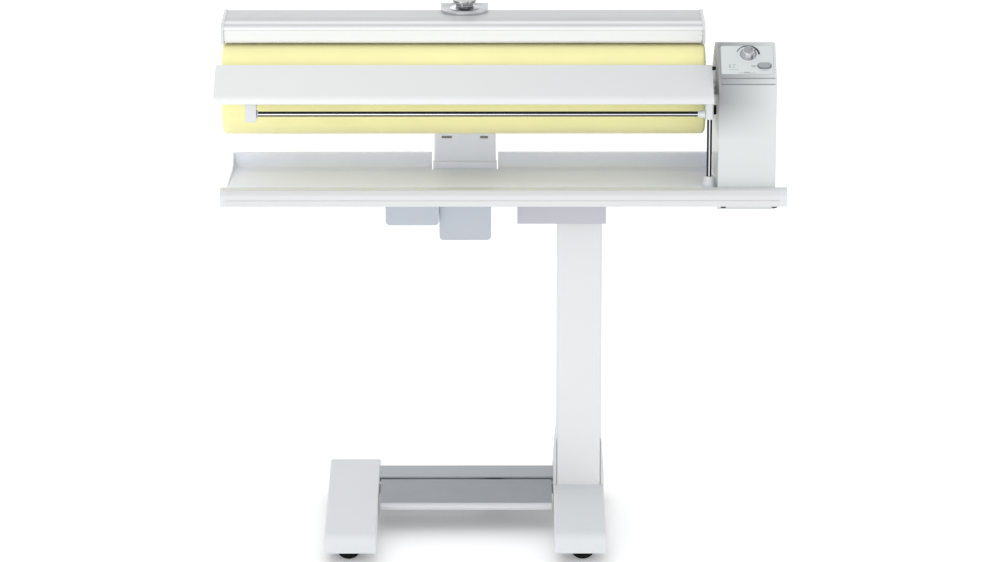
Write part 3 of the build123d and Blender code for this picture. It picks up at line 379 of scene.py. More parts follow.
# %% [markdown]
# ## Dress the CAD pieces
# A CAD piece keeps its mesh. Its finish goes into its object's own material slot, looked up through the
# record, which says for each node which material slot it belongs to.

# %% Give every CAD node its finish
def dress(node_name, material):
    data = nodes[node_name].data
    if not data.materials:
        data.materials.append(material)
    for index in range(len(data.materials)):
        data.materials[index] = material


for node_name, slot_name in sorted(slot_of_node.items()):
    dress(node_name, finishes[slot_name])
print("dressed", len(slot_of_node), "nodes")

# %% [markdown]
# ## Finishes of single pieces
# Some tones of the photograph belong to one piece only: the hood's flat top is greyer than its nose, with two
# lines near the front, the head is darker at the upper left, and the board gets darker to the right. Much of
# that is probably the studio's light and what the gloss mirrors, and only a little the paint. It is painted
# into the base colour here, because soft lamps alone didn't give it. The same goes for the light and dark
# lines on the chrome rods and the knob. Leave out tint() and the two chromes to see the pieces plainly.

# %% Painted shade and painted reflections on chrome
def tint(material, colour_of):
    """Multiply a finish's base colour by another colour made from the coordinates."""
    tree = material.node_tree
    shader = tree.nodes["Principled BSDF"]
    split = tree.nodes.new("ShaderNodeSeparateXYZ")
    tree.links.new(tree.nodes.new("ShaderNodeTexCoord").outputs["Object"], split.inputs[0])
    mix = tree.nodes.new("ShaderNodeMix")
    mix.data_type = "RGBA"
    mix.blend_type = "MULTIPLY"
    mix.inputs["Factor"].default_value = 1.0
    tree.links.new(shader.inputs["Base Color"].links[0].from_socket, mix.inputs[6])
    tree.links.new(colour_of(tree, split.outputs), mix.inputs[7])
    tree.links.new(mix.outputs[2], shader.inputs["Base Color"])
    return material


HOOD_FRONT, HOOD_STRIPE_END = -0.045, 0.055      # where the hood's stripes start and end, in metres along Y
HOOD_NOSE_END, HOOD_FLAT_TOP = 0.05, 0.85        # shares of that distance
# Painted shade of two beads on the hood: where each light or dark line lies, and its grey.
HOOD_PAINTED_BEAD_LINES = ((0.11, 0.86), (0.165, 0.58), (0.27, 0.84), (0.37, 0.86), (0.49, 0.56), (0.63, 0.50))


def hood_painted_shade(tree, xyz):
    """Painted shade against the distance from the front: a light nose, the light and dark lines of two beads, and
    a greyer flat top.
    """
    across = to_range(tree, xyz[1], 0, 1, HOOD_FRONT, HOOD_STRIPE_END)
    tones = ramp(tree, across, (1, 1, 1), (0.58, 0.59, 0.585), HOOD_NOSE_END, HOOD_FLAT_TOP)
    for position, grey in HOOD_PAINTED_BEAD_LINES:
        tones.node.color_ramp.elements.new(position).color = (grey, grey * 1.01, grey * 1.005, 1)
    return tones


def head_painted_shade(tree, xyz):
    """Painted shade: darker towards the upper left of the head."""
    leftness = to_range(tree, xyz[0], 1, 0, 0.378, 0.474)
    height = to_range(tree, xyz[2], 0, 1, 0.765, 0.832)
    both = tree.nodes.new("ShaderNodeMath")
    both.operation = "MULTIPLY"
    tree.links.new(leftness, both.inputs[0])
    tree.links.new(height, both.inputs[1])
    return ramp(tree, both.outputs[0], (1, 1, 1), (0.44, 0.43, 0.45), 0.0, 1.0)


# Painted shade: the board gets darker to the right.
def board_painted_shade(tree, xyz):
    return ramp(tree, to_range(tree, xyz[0], 0, 1, -0.49, 0.36), (1, 1, 1), (0.86, 0.875, 0.88), 0.0, 1.0)


def chrome_with_painted_line(name, dark, light):
    """Chrome rod with a painted reflection: a bright line along its front between two dark flanks, from the
    surface's own direction.
    """
    material, tree, shader, place = new_finish(name, dark, 0.14, 1.0)
    split = tree.nodes.new("ShaderNodeSeparateXYZ")
    tree.links.new(place.node.outputs["Normal"], split.inputs[0])
    frontness = to_range(tree, split.outputs[1], 0, 1, 0.86, -1.0)
    line = ramp(tree, frontness, dark, light, 0.982, 1.0)
    tree.links.new(line, shader.inputs["Base Color"])
    marks = noise_value(tree, stretched(tree, place, (6.0, 6.0, 1.0)), 40.0, 6.0)
    tree.links.new(to_range(tree, marks, 0.10, 0.22), shader.inputs["Roughness"])
    return material


# Painted reflections on the knob: where each light or dark column lies round it, and its grey.
KNOB_PAINTED_REFLECTION_COLUMNS = ((0.24, 0.35), (0.34, 0.95), (0.45, 0.40), (0.55, 0.62), (0.63, 0.34), (0.74, 0.85), (0.80, 0.32))


def chrome_with_painted_columns(name, roughness):
    """Chrome round an upright axis with painted reflections: light and dark columns, as a knob mirrors a studio's
    windows.
    """
    material, tree, shader, place = new_finish(name, (0.3, 0.32, 0.35), roughness, 1.0)
    split = tree.nodes.new("ShaderNodeSeparateXYZ")
    tree.links.new(place.node.outputs["Normal"], split.inputs[0])
    across = to_range(tree, split.outputs[0], 0, 1, -1.0, 1.0)
    columns = ramp(tree, across, (0.25, 0.26, 0.29), (0.22, 0.23, 0.26), 0.15, 0.88)
    for position, grey in KNOB_PAINTED_REFLECTION_COLUMNS:
        columns.node.color_ramp.elements.new(position).color = (grey, grey * 1.01, grey * 1.03, 1)
    tree.links.new(columns, shader.inputs["Base Color"])
    marks = noise_value(tree, place, 60.0, 5.0)
    tree.links.new(to_range(tree, marks, roughness * 0.8, roughness * 1.6), shader.inputs["Roughness"])
    return material


print("three drifts of tone and two chromes")

# %% Dress the single pieces
# The hood's lacquer carries painted shade: a light nose, bead lines and a greyer flat top.
hood_lacquer_painted_shade = tint(powder_coat("hood_lacquer_painted_shade", (0.90, 0.91, 0.93), 0.36, 180.0, 0.00001, coat=0.1), hood_painted_shade)
# The head's lacquer carries painted shade, darker at the upper left.
head_lacquer_painted_shade = tint(powder_coat("head_lacquer_painted_shade", (0.62, 0.655, 0.65), 0.32), head_painted_shade)
# The board's lacquer carries painted shade, darker to the right.
board_lacquer_painted_shade = tint(powder_coat("board_lacquer_painted_shade", (0.77, 0.78, 0.78), 0.34), board_painted_shade)
# The tray, its housing and the slot lips get a brighter, bluer copy of the white lacquer: painted light for what
# the roller keeps off them and against the yellow light from the cloth.
tray_lacquer_painted_light = powder_coat("tray_lacquer_painted_light", (0.85, 0.875, 1.0), 0.45, 260.0, 0.00001, coat=0.05)
lip_lacquer = powder_coat("lip_lacquer", (0.65, 0.655, 0.665), 0.34)
# The fold bracket's greyer, lilac coat is painted shade of the tray above it, on a white part.
bracket_coat_painted_shade = powder_coat("bracket_grey_painted_shade", (0.52, 0.525, 0.575), 0.40)
anodised_bar = brushed("anodised_bar", (0.36, 0.385, 0.41), 0.34)
# The rods' chrome carries a painted reflection: a bright line between dark flanks.
rod_chrome_painted_reflection = chrome_with_painted_line("rod_chrome_painted_reflection", (0.045, 0.047, 0.055), (0.85, 0.86, 0.88))
# The knob's chrome carries painted reflections in light and dark columns.
knob_chrome_painted_reflection = chrome_with_painted_columns("knob_chrome_painted_reflection", 0.10)
button_grey = moulded("button_grey", (0.32, 0.35, 0.35), 0.40)
single_finishes = {
    hood_lacquer_painted_shade: ("heater_cover", "finger_guard"), head_lacquer_painted_shade: ("head_shell", "head_rear_cover"),
    board_lacquer_painted_shade: ("feedboard", "feedboard_end_caps"), tray_lacquer_painted_light: ("tray_pan", "arm_housing"),
    lip_lacquer: ("tray_lip",), bracket_coat_painted_shade: ("fold_bracket",), anodised_bar: ("cross_member",),
    rod_chrome_painted_reflection: ("gate_rods",),
    knob_chrome_painted_reflection: ("release_knob",), button_grey: ("power_button",),
}
for material, node_names in single_finishes.items():
    for node_name in node_names:
        dress(node_name, material)
print(len(single_finishes), "finishes of single pieces")

# %% [markdown]
# ## Turning a mesh into a piece
# Every new piece ends the same way: its bmesh becomes an object at the origin, with its place in its mesh, a
# finish from a record slot, unless another is given, and a body to ride on. Sizes are written in millimetres,
# so two helpers turn them into metres. Smooth shading with an angle limit keeps turned edges crisp.

# %% Piece helpers
MM = 0.001


def at(x, y, z):
    """A point given in millimetres."""
    return Vector((x * MM, y * MM, z * MM))


def piece(bm, name, body, slot_name, material=None, sharp=35.0):
    """A finished piece from a bmesh whose place is already in its vertices."""
    data = bpy.data.meshes.new(name)
    bm.to_mesh(data)
    bm.free()
    made = bpy.data.objects.new(name, data)
    bpy.context.scene.collection.objects.link(made)
    data.materials.append(material or finishes[slot_name])
    if sharp:
        for polygon in data.polygons:
            polygon.use_smooth = True
        data.set_sharp_from_angle(angle=radians(sharp))
    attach(made, body)
    print(name, len(data.polygons), "faces on", body)
    return made


def lathe(bm, profile, centre, axis, out, steps=48):
    """Spin a profile of (along, radius) pairs, in millimetres, a full turn round an axis."""
    along = Vector(axis).normalized()
    radial = Vector(out).normalized()
    middle = Vector(centre)
    verts = [bm.verts.new(middle + along * a * MM + radial * r * MM) for a, r in profile]
    edges = [bm.edges.new(pair) for pair in zip(verts, verts[1:])]
    bmesh.ops.spin(bm, geom=verts + edges, cent=middle, axis=along, angle=2 * pi, steps=steps, use_merge=True)
    bmesh.ops.remove_doubles(bm, verts=bm.verts, dist=1e-6)


print("piece helpers ready")

# %% [markdown]
# ## The roller's cotton cover
# On the real machine the cover is a flat piece of cotton wrapped once round the padding, sewn in one long
# seam and drawn in over both ends by a cord. A lathe profile gives the drawn-in shape. Then every point is
# moved a little inwards: long shallow ripples on the barrel, and pleats that grow towards the draw cord.
# A cloth simulation would add nothing, because the cover is stretched tight.

# %% Cotton cover
ROLLER_LEFT, ROLLER_RIGHT = -484.0, 355.0
ROLLER_AXIS = (0.0, -20.0, 821.0)
ROLLER_R = 80.0
END_ROUND = 8.0
DRAWN_IN_R = 54.0
COVER_STEPS = 192
PLEATS = 48
SEAM_ANGLE = radians(104)
COVER_THICKNESS = 1.2 * MM


def rounded_end(x_end, inward):
    """Profile of one end: from the draw cord out to the barrel. inward is +1 at the left end."""
    points = [(x_end + inward * 0.4, r) for r in (DRAWN_IN_R, 58, 62, 66, 69)]
    points.append((x_end, ROLLER_R - END_ROUND))
    for step in range(1, 7):
        turn = radians(90 * step / 6)
        points.append((x_end + inward * END_ROUND * (1 - cos(turn)), ROLLER_R - END_ROUND * (1 - sin(turn))))
    return points


def barrel(x_from, x_to, count):
    step = (x_to - x_from) / count
    return [(x_from + step * i, ROLLER_R) for i in range(1, count)]


left_end = rounded_end(ROLLER_LEFT, 1)
right_end = rounded_end(ROLLER_RIGHT, -1)
cover_profile = left_end + barrel(ROLLER_LEFT + END_ROUND, ROLLER_RIGHT - END_ROUND, 70) + right_end[::-1]
cover = bmesh.new()
lathe(cover, cover_profile, at(*ROLLER_AXIS), (1, 0, 0), (0, 0, 1), COVER_STEPS)

# %% Ripples, pleats, seam and UV map of the cover
def cloth_place(co):
    """Distance along X, angle round the axis, radius and how far a point is past the barrel's end."""
    y = co.y / MM - ROLLER_AXIS[1]
    z = co.z / MM - ROLLER_AXIS[2]
    x = co.x / MM
    radius = (y * y + z * z) ** 0.5
    return x, atan2(z, y), radius, max(0.0, (ROLLER_R - radius) / (ROLLER_R - DRAWN_IN_R))


for vert in cover.verts:
    x, angle, radius, past = cloth_place(vert.co)
    ring = Vector((0, cos(angle), sin(angle)))
    ripple = 0.35 * (0.5 + 0.5 * noise.noise(Vector((x * 0.006, cos(angle) * 2.2, sin(angle) * 2.2))))
    seam_near = max(0.0, 1 - abs(angle - SEAM_ANGLE) / radians(2.6))
    if past < 0.02:
        vert.co -= ring * (ripple + 0.35 * (1 - seam_near) * 0.4) * MM
    else:
        inward = 1.0 if x < 0 else -1.0
        pleat = 0.5 + 0.5 * sin(PLEATS * angle + 2.0 * noise.noise(Vector((cos(angle), sin(angle), 3.0))))
        depth = min(1.0, past * 1.3) * 2.2 * pleat
        vert.co += Vector((inward * depth * MM, 0, 0)) - ring * ripple * (1 - past) * MM

cover_uv = cover.loops.layers.uv.new("UVMap")
for face in cover.faces:
    centre = face.calc_center_median()
    middle_angle = cloth_place(centre)[1]
    for loop in face.loops:
        x, angle, radius, past = cloth_place(loop.vert.co)
        turn = (angle - middle_angle + pi) % (2 * pi) - pi
        outwards = -1.0 if x < 0 else 1.0
        loop[cover_uv].uv = ((x + outwards * (ROLLER_R - radius)) * MM, (middle_angle + turn) * ROLLER_R * MM)

bmesh.ops.recalc_face_normals(cover, faces=cover.faces)
cotton_cover = piece(cover, "cotton_cover", "roller", "cloth", sharp=0)
for polygon in cotton_cover.data.polygons:
    polygon.use_smooth = True
cloth_wall = cotton_cover.modifiers.new("cloth_wall", "SOLIDIFY")
cloth_wall.thickness = COVER_THICKNESS
cloth_wall.offset = -1.0
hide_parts("roller_cloth")

# %% [markdown]
# The draw cord is a thin torus in the hem at each end, made by spinning a small circle round the axis. The
# cloth's flat size is the barrel's girth by its length plus what turns in over the ends.

# %% Draw cords in the hems
def torus(bm, centre, axis, out, ring_mm, thick_mm, steps=96, sides=10):
    """A ring of round section."""
    along = Vector(axis).normalized()
    radial = Vector(out).normalized()
    turns = [2 * pi * i / sides for i in range(sides)]
    circle = [(thick_mm * cos(turn), ring_mm + thick_mm * sin(turn)) for turn in turns]
    middle = Vector(centre)
    verts = [bm.verts.new(middle + along * a * MM + radial * r * MM) for a, r in circle]
    edges = [bm.edges.new((verts[i], verts[(i + 1) % sides])) for i in range(sides)]
    bmesh.ops.spin(bm, geom=verts + edges, cent=middle, axis=along, angle=2 * pi, steps=steps, use_merge=True)
    bmesh.ops.remove_doubles(bm, verts=bm.verts, dist=1e-6)


draw_cords = bmesh.new()
for hem_x in (ROLLER_LEFT + 2.6, ROLLER_RIGHT - 2.6):
    torus(draw_cords, at(hem_x, ROLLER_AXIS[1], ROLLER_AXIS[2]), (1, 0, 0), (0, 0, 1), DRAWN_IN_R - 0.4, 1.4)
bmesh.ops.recalc_face_normals(draw_cords, faces=draw_cords.faces)
hem_cords = piece(draw_cords, "hem_draw_cords", "roller", "cloth", finishes["padding"])

# %% [markdown]
# ## The felt under the cover
# The felt sleeve only shows at its two ends, between the draw cord and the drum's cap, so one closed profile
# spun round the axis is enough. Its outer face stays a hair under the cotton.

# %% Felt sleeve
FELT_R = 77.6
DRUM_R = 72.0
FELT_LIP_R = 55.5

felt_profile = [(ROLLER_LEFT + 12, DRUM_R), (ROLLER_LEFT + 6.2, DRUM_R), (ROLLER_LEFT + 5.4, FELT_LIP_R + 1),
                (ROLLER_LEFT + 4.8, FELT_LIP_R), (ROLLER_LEFT + 4.2, FELT_LIP_R + 1), (ROLLER_LEFT + 4.0, 68),
                (ROLLER_LEFT + 5.2, 73.5), (ROLLER_LEFT + 8.5, 76.8), (ROLLER_LEFT + 12, FELT_R)]
mirrored = [(ROLLER_LEFT + ROLLER_RIGHT - x, r) for x, r in felt_profile]
felt = bmesh.new()
lathe(felt, felt_profile + mirrored[::-1] + [felt_profile[0]], at(*ROLLER_AXIS), (1, 0, 0), (0, 0, 1), 96)
bmesh.ops.recalc_face_normals(felt, faces=felt.faces)
roller_felt = piece(felt, "roller_felt", "roller", "padding")
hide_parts("roller_padding")

# %% [markdown]
# ## Bars and screws
# Small fittings are made from two shapes. A bar is a cube scaled to its spans, with bevelled edges. A screw
# head is a lathe profile with a drive recess. They have few faces, so they can be used often.

# %% Helpers for small fittings
def bar(bm, xs, ys, zs, rounding=0.0, steps=2):
    """A block from its three spans in millimetres, with rounded edges."""
    verts = bmesh.ops.create_cube(bm, size=1.0)["verts"]
    spans = (xs, ys, zs)
    bmesh.ops.scale(bm, vec=[(b - a) * MM for a, b in spans], verts=verts)
    bmesh.ops.translate(bm, vec=[(a + b) / 2 * MM for a, b in spans], verts=verts)
    if rounding:
        edges = list({edge for vert in verts for edge in vert.link_edges})
        bmesh.ops.bevel(bm, geom=edges, offset=rounding * MM, offset_type="OFFSET", segments=steps, profile=0.5,
                        affect="EDGES", material=-1, clamp_overlap=True)


def screw_head(bm, place, axis, out, radius=3.4):
    profile = [(0, 0), (0, radius), (0.8, radius), (1.7, radius * 0.74), (1.9, radius * 0.46),
               (0.8, radius * 0.40), (0.8, 0)]
    lathe(bm, profile, place, axis, out, 20)


def closed(bm, name, body, slot_name, material=None, sharp=35.0):
    """Merge doubles, turn the faces outwards and finish the piece."""
    bmesh.ops.remove_doubles(bm, verts=bm.verts, dist=1e-7)
    bmesh.ops.recalc_face_normals(bm, faces=bm.faces)
    return piece(bm, name, body, slot_name, material, sharp)


def screws(name, body, places, axis, out, radius=3.4):
    heads = bmesh.new()
    for place in places:
        screw_head(heads, at(*place), axis, out, radius)
    return closed(heads, name, body, "frame_steel")


printed_ink = powder_coat("printed_ink", (0.012, 0.013, 0.015), 0.45)
grey_ink = powder_coat("grey_ink", (0.30, 0.31, 0.32), 0.45)
# Painted shade for the dark lines of folds, gaps and slots.
seam_shadow = moulded("seam_shadow", (0.20, 0.21, 0.22), 0.6)
print("small fittings ready")

# %% [markdown]
# ## The sloping control plate
# The plate carries a temperature dial in the middle and an oval switch at its lower right. Round the dial a
# printed wedge gets thicker clockwise, which says more heat without a word. It starts as one short edge that
# is spun round the plate's normal, and then its inner side is moved inwards little by little.

# %% The plate's own frame
PLATE_FOOT = Vector((0, -157, 876))
PLATE_RISE = Vector((0, 64, 45)).normalized()
PLATE_OUT = Vector((0, -PLATE_RISE.z, PLATE_RISE.y))
DIAL_X, DIAL_ALONG = 425.2, 50.6


def on_plate(x, along, out=0.0):
    """A point of the control plate: across, up the slope and out of it, in millimetres."""
    return (Vector((x, 0, 0)) + PLATE_FOOT + PLATE_RISE * along + PLATE_OUT * out) * MM


def on_plate_bar(bm, xs, alongs, outs, rounding=0.0):
    """A bar whose spans are counted in the plate's frame."""
    before = set(bm.verts)
    bar(bm, xs, alongs, outs, rounding)
    for vert in set(bm.verts) - before:
        vert.co = on_plate(vert.co.x / MM, vert.co.y / MM, vert.co.z / MM)


print("plate normal", [round(v, 3) for v in PLATE_OUT])

# %% Heat wedge round the dial
WEDGE_R = 20.3
WEDGE_START = 164.0
WEDGE_THIN, WEDGE_THICK = 0.9, 4.0

wedge = bmesh.new()
dial_centre = on_plate(DIAL_X, DIAL_ALONG, 0.05)
start_direction = Vector((cos(radians(WEDGE_START)), 0, 0)) + PLATE_RISE * sin(radians(WEDGE_START))
ends = [wedge.verts.new(dial_centre + start_direction * r * MM) for r in (WEDGE_R, WEDGE_R - WEDGE_THIN)]
first_edge = wedge.edges.new(ends)
bmesh.ops.spin(wedge, geom=ends + [first_edge], cent=dial_centre, axis=PLATE_OUT, angle=-radians(WEDGE_START),
               steps=40, use_merge=False)
for vert in wedge.verts:
    arm = vert.co - dial_centre
    if arm.length < (WEDGE_R - WEDGE_THIN / 2) * MM:
        turn = atan2(arm.dot(PLATE_RISE), arm.x)
        share = 1 - max(0.0, turn) / radians(WEDGE_START)
        thickness = WEDGE_THIN + (WEDGE_THICK - WEDGE_THIN) * share
        vert.co = dial_centre + arm.normalized() * (WEDGE_R - thickness) * MM
raised = bmesh.ops.extrude_face_region(wedge, geom=wedge.faces[:])
lifted = [item for item in raised["geom"] if isinstance(item, bmesh.types.BMVert)]
bmesh.ops.translate(wedge, vec=PLATE_OUT * 0.2 * MM, verts=lifted)
closed(wedge, "dial_heat_wedge", "ironer", "black_plastic", printed_ink)

# %% Dial cap, ring and pointer
dial_trim = bmesh.new()
lathe(dial_trim, [(0, 0), (0, 8.4), (0.45, 8.0), (0.45, 0)], on_plate(DIAL_X, DIAL_ALONG, 11.5),
      PLATE_OUT, (1, 0, 0), 40)
dial_satin = brushed("dial_satin", (0.42, 0.43, 0.45), 0.30)
closed(dial_trim, "dial_cap_disc", "dial", "chrome", dial_satin)
dial_ring = bmesh.new()
lathe(dial_ring, [(0.1, 14.6), (0.1, 17.0), (0.5, 16.6), (0.9, 14.9), (0.1, 14.6)],
      on_plate(DIAL_X, DIAL_ALONG), PLATE_OUT, (1, 0, 0), 48)
closed(dial_ring, "dial_trim_ring", "ironer", "white_plastic")

dial_marks = bmesh.new()
POINTER_ANGLE = radians(21)
on_plate_bar(dial_marks, (3.0, 8.0), (-0.5, 0.5), (11.9, 12.15))
on_plate_bar(dial_marks, (10.6, 13.4), (-0.9, 0.9), (4.0, 7.0), 0.3)
origin_place = on_plate(0, 0)
pointer_turn = Matrix.Rotation(POINTER_ANGLE, 3, PLATE_OUT)
bmesh.ops.rotate(dial_marks, cent=origin_place, matrix=pointer_turn, verts=dial_marks.verts)
bmesh.ops.translate(dial_marks, vec=on_plate(DIAL_X, DIAL_ALONG) - origin_place, verts=dial_marks.verts)
closed(dial_marks, "dial_pointer", "dial", "black_plastic", printed_ink)

# %% [markdown]
# The switch sits in a thin dark frame with round ends, painted shade of the gap round the switch. Four circles
# are pulled apart in the middle, and bridging them one after the other gives the frame. The small marks beside
# it are plain dashes and dots.

# %% Switch frame and printed marks
BUTTON_X, BUTTON_ALONG = 452.3, 24.7
BUTTON_LENGTH, BUTTON_WIDTH = 22.6, 12.1


def stretched_ring(bm, radius, out):
    """A circle pulled apart in the middle and laid on the plate; returns its edges."""
    half = (BUTTON_LENGTH - BUTTON_WIDTH) / 2 * MM
    ring = bmesh.ops.create_circle(bm, cap_ends=False, radius=radius * MM, segments=32)["verts"]
    for vert in ring:
        if abs(vert.co.x) > 1e-6:
            vert.co.x += half if vert.co.x > 0 else -half
        vert.co = on_plate(BUTTON_X + vert.co.x / MM, BUTTON_ALONG + vert.co.y / MM, out)
    return list({edge for vert in ring for edge in vert.link_edges})


frame_ring = bmesh.new()
inner_r = BUTTON_WIDTH / 2
FRAME_SECTION = ((inner_r, 0.02), (inner_r, 0.8), (inner_r + 0.9, 0.8), (inner_r + 1.3, 0.02))
loops = [stretched_ring(frame_ring, radius, out) for radius, out in FRAME_SECTION]
for index in range(4):
    bmesh.ops.bridge_loops(frame_ring, edges=loops[index] + loops[(index + 1) % 4])
closed(frame_ring, "switch_frame", "ironer", "black_plastic", seam_shadow)

DASHES = (((429, 438), (24.2, 25.4)), ((430.5, 438), (22.0, 22.9)), ((408, 437), (8.2, 8.9)),
          ((417, 427), (9.6, 10.8)), ((392.0, 393.6), (20, 28)), ((397.5, 402.5), (26.4, 27.6)),
          ((397.5, 401), (21, 22.2)), ((446, 458), (14.2, 14.9)))
DOT_PROFILE = [(0.02, 0), (0.02, 0.9), (0.2, 0.9), (0.2, 0)]
marks = bmesh.new()
for xs, alongs in DASHES:
    on_plate_bar(marks, xs, alongs, (0.02, 0.18))
for step in range(4):
    lathe(marks, DOT_PROFILE, on_plate(393 + 4.2 * step, 16.5), PLATE_OUT, (1, 0, 0), 14)
closed(marks, "printed_marks", "ironer", "black_plastic", grey_ink)

# %% [markdown]
# ## Seams of the head
# Below the control plate the sheet is folded twice, and each fold shows as a thin dark line. A slim dark bar
# lies in each fold, 0.3 mm proud, as painted shade of the fold, because a groove that is narrower than a pixel
# would vanish in the picture.

# %% Head seams and the meshes behind its vents
seams = bmesh.new()
bar(seams, (377, 470), (-159.5, -157.6), (873.4, 874.3), 0.2)
bar(seams, (376, 471), (-164.3, -163.6), (863.6, 864.6), 0.2)
closed(seams, "head_seams", "ironer", "white_plastic", seam_shadow)

vent_mesh = bmesh.new()
bar(vent_mesh, (392, 454), (105.5, 107), (697, 765), 0.4)
for step in range(9):
    bar(vent_mesh, (396 + 6.6 * step, 397.4 + 6.6 * step), (107, 108), (698, 764), 0.3)
closed(vent_mesh, "vent_mesh", "ironer", "black_plastic")
cover_corners = [(x, 112, z) for x in (381, 465) for z in (654, 782)]
screws("rear_cover_screws", "ironer", cover_corners, (0, 1, 0), (1, 0, 0))

# %% [markdown]
# ## Release knob and its plate
# The plate is polished and dished, which shows as rings of light round the knob. Three thin rings of round
# section, spun round the knob's axis, catch the light in the same way.

# %% Rings on the knob plate
KNOB_PLACE = (-64.0, 85.0)
rings = bmesh.new()
for ring_r, thick in ((39.2, 1.0), (33.0, 0.7), (28.0, 0.7)):
    torus(rings, at(KNOB_PLACE[0], KNOB_PLACE[1] - 1, 939.4), (0, 0, 1), (1, 0, 0), ring_r, thick, 96, 8)
closed(rings, "plate_rings", "heater", "chrome")
knob_bands = bmesh.new()
for band_z, band_r in ((945.0, 15.4), (949.4, 15.4)):
    torus(knob_bands, at(*KNOB_PLACE, band_z), (0, 0, 1), (1, 0, 0), band_r, 0.6, 48, 8)
closed(knob_bands, "knob_bands", "release", "chrome")

# %% [markdown]
# ## Light edge of the foot bar
# The foot bar's sheet is rolled over at the front, and the photograph shows the roll as a light line. It may be
# a bright trim or only the light that the roll catches, and a thin strip stands for it. A folded line is
# extruded along X and then given a wall, so the strip is closed and follows the bar when it is pressed.

# %% Strip along the foot bar
def strip(bm, line, xs, wall):
    """A folded (y, z) line pulled along X and given a wall, all in millimetres."""
    verts = [bm.verts.new(at(xs[0], y, z)) for y, z in line]
    edges = [bm.edges.new(pair) for pair in zip(verts, verts[1:])]
    pulled = bmesh.ops.extrude_edge_only(bm, edges=edges)["geom"]
    moved = [item for item in pulled if isinstance(item, bmesh.types.BMVert)]
    bmesh.ops.translate(bm, vec=at(xs[1] - xs[0], 0, 0), verts=moved)
    bmesh.ops.recalc_face_normals(bm, faces=bm.faces)
    bmesh.ops.solidify(bm, geom=bm.faces[:], thickness=wall * MM)


# A light, partly metallic silver for the strip along the roll.
edge_silver = brushed("light_roll_strip", (0.62, 0.63, 0.65), 0.38)
edge_silver.node_tree.nodes["Principled BSDF"].inputs["Metallic"].default_value = 0.2
pedal_edge = bmesh.new()
strip(pedal_edge, ((-29.4, 44.4), (-29.4, 49.2), (-28.8, 52.6), (-26.9, 55.1), (-24.6, 56.0)), (-216, 91), 0.3)
closed(pedal_edge, "pedal_edge_strip", "pedal", "pedal_grey", edge_silver)

# %% [markdown]
# ## Castor hub caps
# Each twin castor has a round cap over the end of its axle: a flat rim, a shallow dish and a small boss in the
# middle. One lathe profile makes all eight, two to a castor.

# %% Hub caps
CASTOR_X = {"left": -269.0, "right": 144.0}
CASTOR_Y = {"front": -146.0, "back": 152.0}
HUB_PROFILE = [(0, 0), (0, 12), (0.4, 12), (0.7, 11.4), (0.7, 9), (0.3, 8.4), (0.3, 5), (0.9, 4.6), (0.9, 0)]
for end, castor_y in CASTOR_Y.items():
    for side, castor_x in CASTOR_X.items():
        hub = bmesh.new()
        for facing in (-1, 1):
            lathe(hub, HUB_PROFILE, at(castor_x, castor_y + facing * 18, 22), (0, facing, 0), (1, 0, 0), 32)
        closed(hub, f"hub_caps_{end}_{side}", f"wheels_{end}_{side}", "black_plastic")

# %% [markdown]
# ## Slots of the arm housing
# The upright housing behind the tray has two narrow slots in its front, each with a bright pressed lip.
# The slots are dark bars of painted shade, and the lips take the tray's brighter white, which is painted light.

# %% Housing slots
SLOT_SPANS = ((-104.5, -86.4), (-36.8, -22.7))
housing_slots = bmesh.new()
slot_lips = bmesh.new()
for x_from, x_to in SLOT_SPANS:
    bar(housing_slots, (x_from, x_to), (56.6, 57.3), (709.5, 713.5), 0.3)
    bar(slot_lips, (x_from - 1, x_to + 1), (55.9, 57.3), (707.4, 709.2), 0.5)
closed(housing_slots, "housing_slots", "ironer", "black_plastic", seam_shadow)
closed(slot_lips, "slot_lips", "ironer", "white_metal", tray_lacquer_painted_light)

# %% [markdown]
# ## Fittings of the feed board
# The board hangs on a rail that turns with the corner post. A dark hinge knuckle tops the post, a black
# buffer keeps the board off the head, and a light ring stops the rail in its bracket.

# %% Knuckle, buffer and ring
RAIL_Y_MM, RAIL_Z_MM = -154.0, 809.5
knuckle = bmesh.new()
KNUCKLE_PROFILE = [(0, 0), (0, 2.4), (0.6, 2.9), (15.4, 2.9), (16, 2.4), (16, 0)]
BUFFER_PROFILE = [(0, 0), (0, 3.5), (5.4, 3.5), (6.6, 2.6), (7.0, 0)]
lathe(knuckle, KNUCKLE_PROFILE, at(367.8, -143, 806), (0, 0, 1), (1, 0, 0), 24)
lathe(knuckle, BUFFER_PROFILE, at(364, -98, 876), (1, 0, 0), (0, 0, 1), 24)
closed(knuckle, "gate_knuckle", "gate", "black_plastic")
rail_ring = bmesh.new()
torus(rail_ring, at(-418.5, RAIL_Y_MM, RAIL_Z_MM), (1, 0, 0), (0, 0, 1), 5.6, 1.2, 32, 8)
closed(rail_ring, "rail_ring", "gate", "white_plastic")

# %% [markdown]
# ## Screws of the back
# Sheet-metal covers are usually held by self-tapping screws. The photograph doesn't show the back, so their
# number and places are a guess.

# %% Screws
screws("hood_screws", "heater", [(x, 120, 860) for x in (-470, -250, 120, 340)], (0, 1, 0), (1, 0, 0))
housing_corners = [(x, 151, z) for x in (-110, -16) for z in (645, 765)]
screws("housing_screws", "ironer", housing_corners, (0, 1, 0), (1, 0, 0), 3.0)
screws("bracket_screws", "base", [(x, 150, 580) for x in (100, 170)], (0, 1, 0), (1, 0, 0), 4.2)

# %% [markdown]
# ## Plate behind the column
# A flat plate with rounded edges and six screws closes the column's back. It is a guess too.

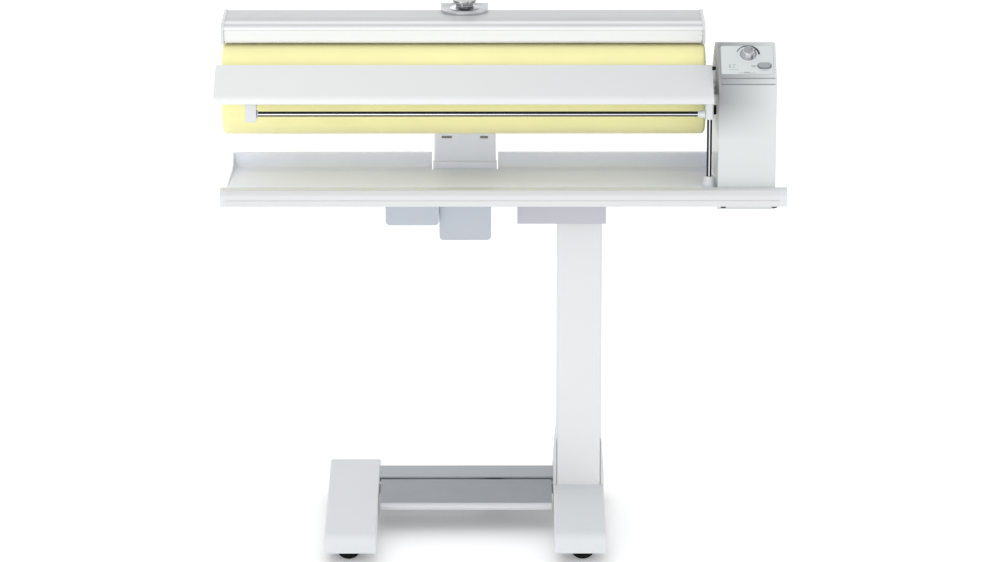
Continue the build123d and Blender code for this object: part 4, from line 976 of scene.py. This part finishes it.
# %% Column back plate
COLUMN_BACK_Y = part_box("column")[1][1] / MM
back_plate = bmesh.new()
bar(back_plate, (112, 168), (COLUMN_BACK_Y - 0.2, COLUMN_BACK_Y + 0.6), (96, 560), 0.3)
closed(back_plate, "column_back_plate", "base", "white_metal")
plate_holes = [(x, COLUMN_BACK_Y + 0.6, z) for x in (118, 162) for z in (106, 328, 550)]
screws("column_plate_screws", "base", plate_holes, (0, 1, 0), (1, 0, 0), 3.0)

# %% [markdown]
# ## Left end of the roller, plugs of the hood and grip of the lock
# The roller's free end shows the drum's cap: a hub with six ribs. Round plugs close the holes in the hood's end
# caps, the cable gland has a ribbed boot, and the lock lever has grip ribs for the thumb.

# %% Roller end, plugs and ribs
end_boss = bmesh.new()
BOSS_X = -478.0
lathe(end_boss, [(0, 12.5), (-4, 12.8), (-4.6, 13.4), (-4.6, 17.4), (-4, 18), (0, 19), (0, 12.5)],
      at(BOSS_X, ROLLER_AXIS[1], ROLLER_AXIS[2]), (1, 0, 0), (0, 0, 1), 48)
for index in range(6):
    before = set(end_boss.verts)
    bar(end_boss, (BOSS_X - 2.4, BOSS_X + 0.2), (18, 46), (-1.4, 1.4), 0.6)
    rib = [vert for vert in end_boss.verts if vert not in before]
    bmesh.ops.rotate(end_boss, cent=(0, 0, 0), matrix=Matrix.Rotation(pi / 3 * index, 3, "X"), verts=rib)
    bmesh.ops.translate(end_boss, vec=at(0, ROLLER_AXIS[1], ROLLER_AXIS[2]), verts=rib)
closed(end_boss, "roller_end_boss", "roller", "cast_aluminium")

PLUG_PROFILE = [(0, 0), (0, 5), (0.5, 4.8), (0.9, 3.8), (0.9, 0)]
plugs = bmesh.new()
for plug_x, facing in ((-486.0, -1), (355.0, 1)):
    lathe(plugs, PLUG_PROFILE, at(plug_x, 60, 900), (facing, 0, 0), (0, 0, 1), 28)
closed(plugs, "cap_plugs", "heater", "cover_white")

gland_ribs = bmesh.new()
for step in range(4):
    torus(gland_ribs, at(423, 117.5 + 3 * step, 668), (0, 1, 0), (1, 0, 0), 7.6, 0.7, 32, 8)
closed(gland_ribs, "gland_ribs", "ironer", "black_plastic")

grip_ribs = bmesh.new()
for step in range(8):
    bar(grip_ribs, (101 + 4 * step, 102.6 + 4 * step), (159.4, 160.8), (593.5, 608.5), 0.5)
closed(grip_ribs, "lever_grip_ribs", "fold_lock", "black_plastic")
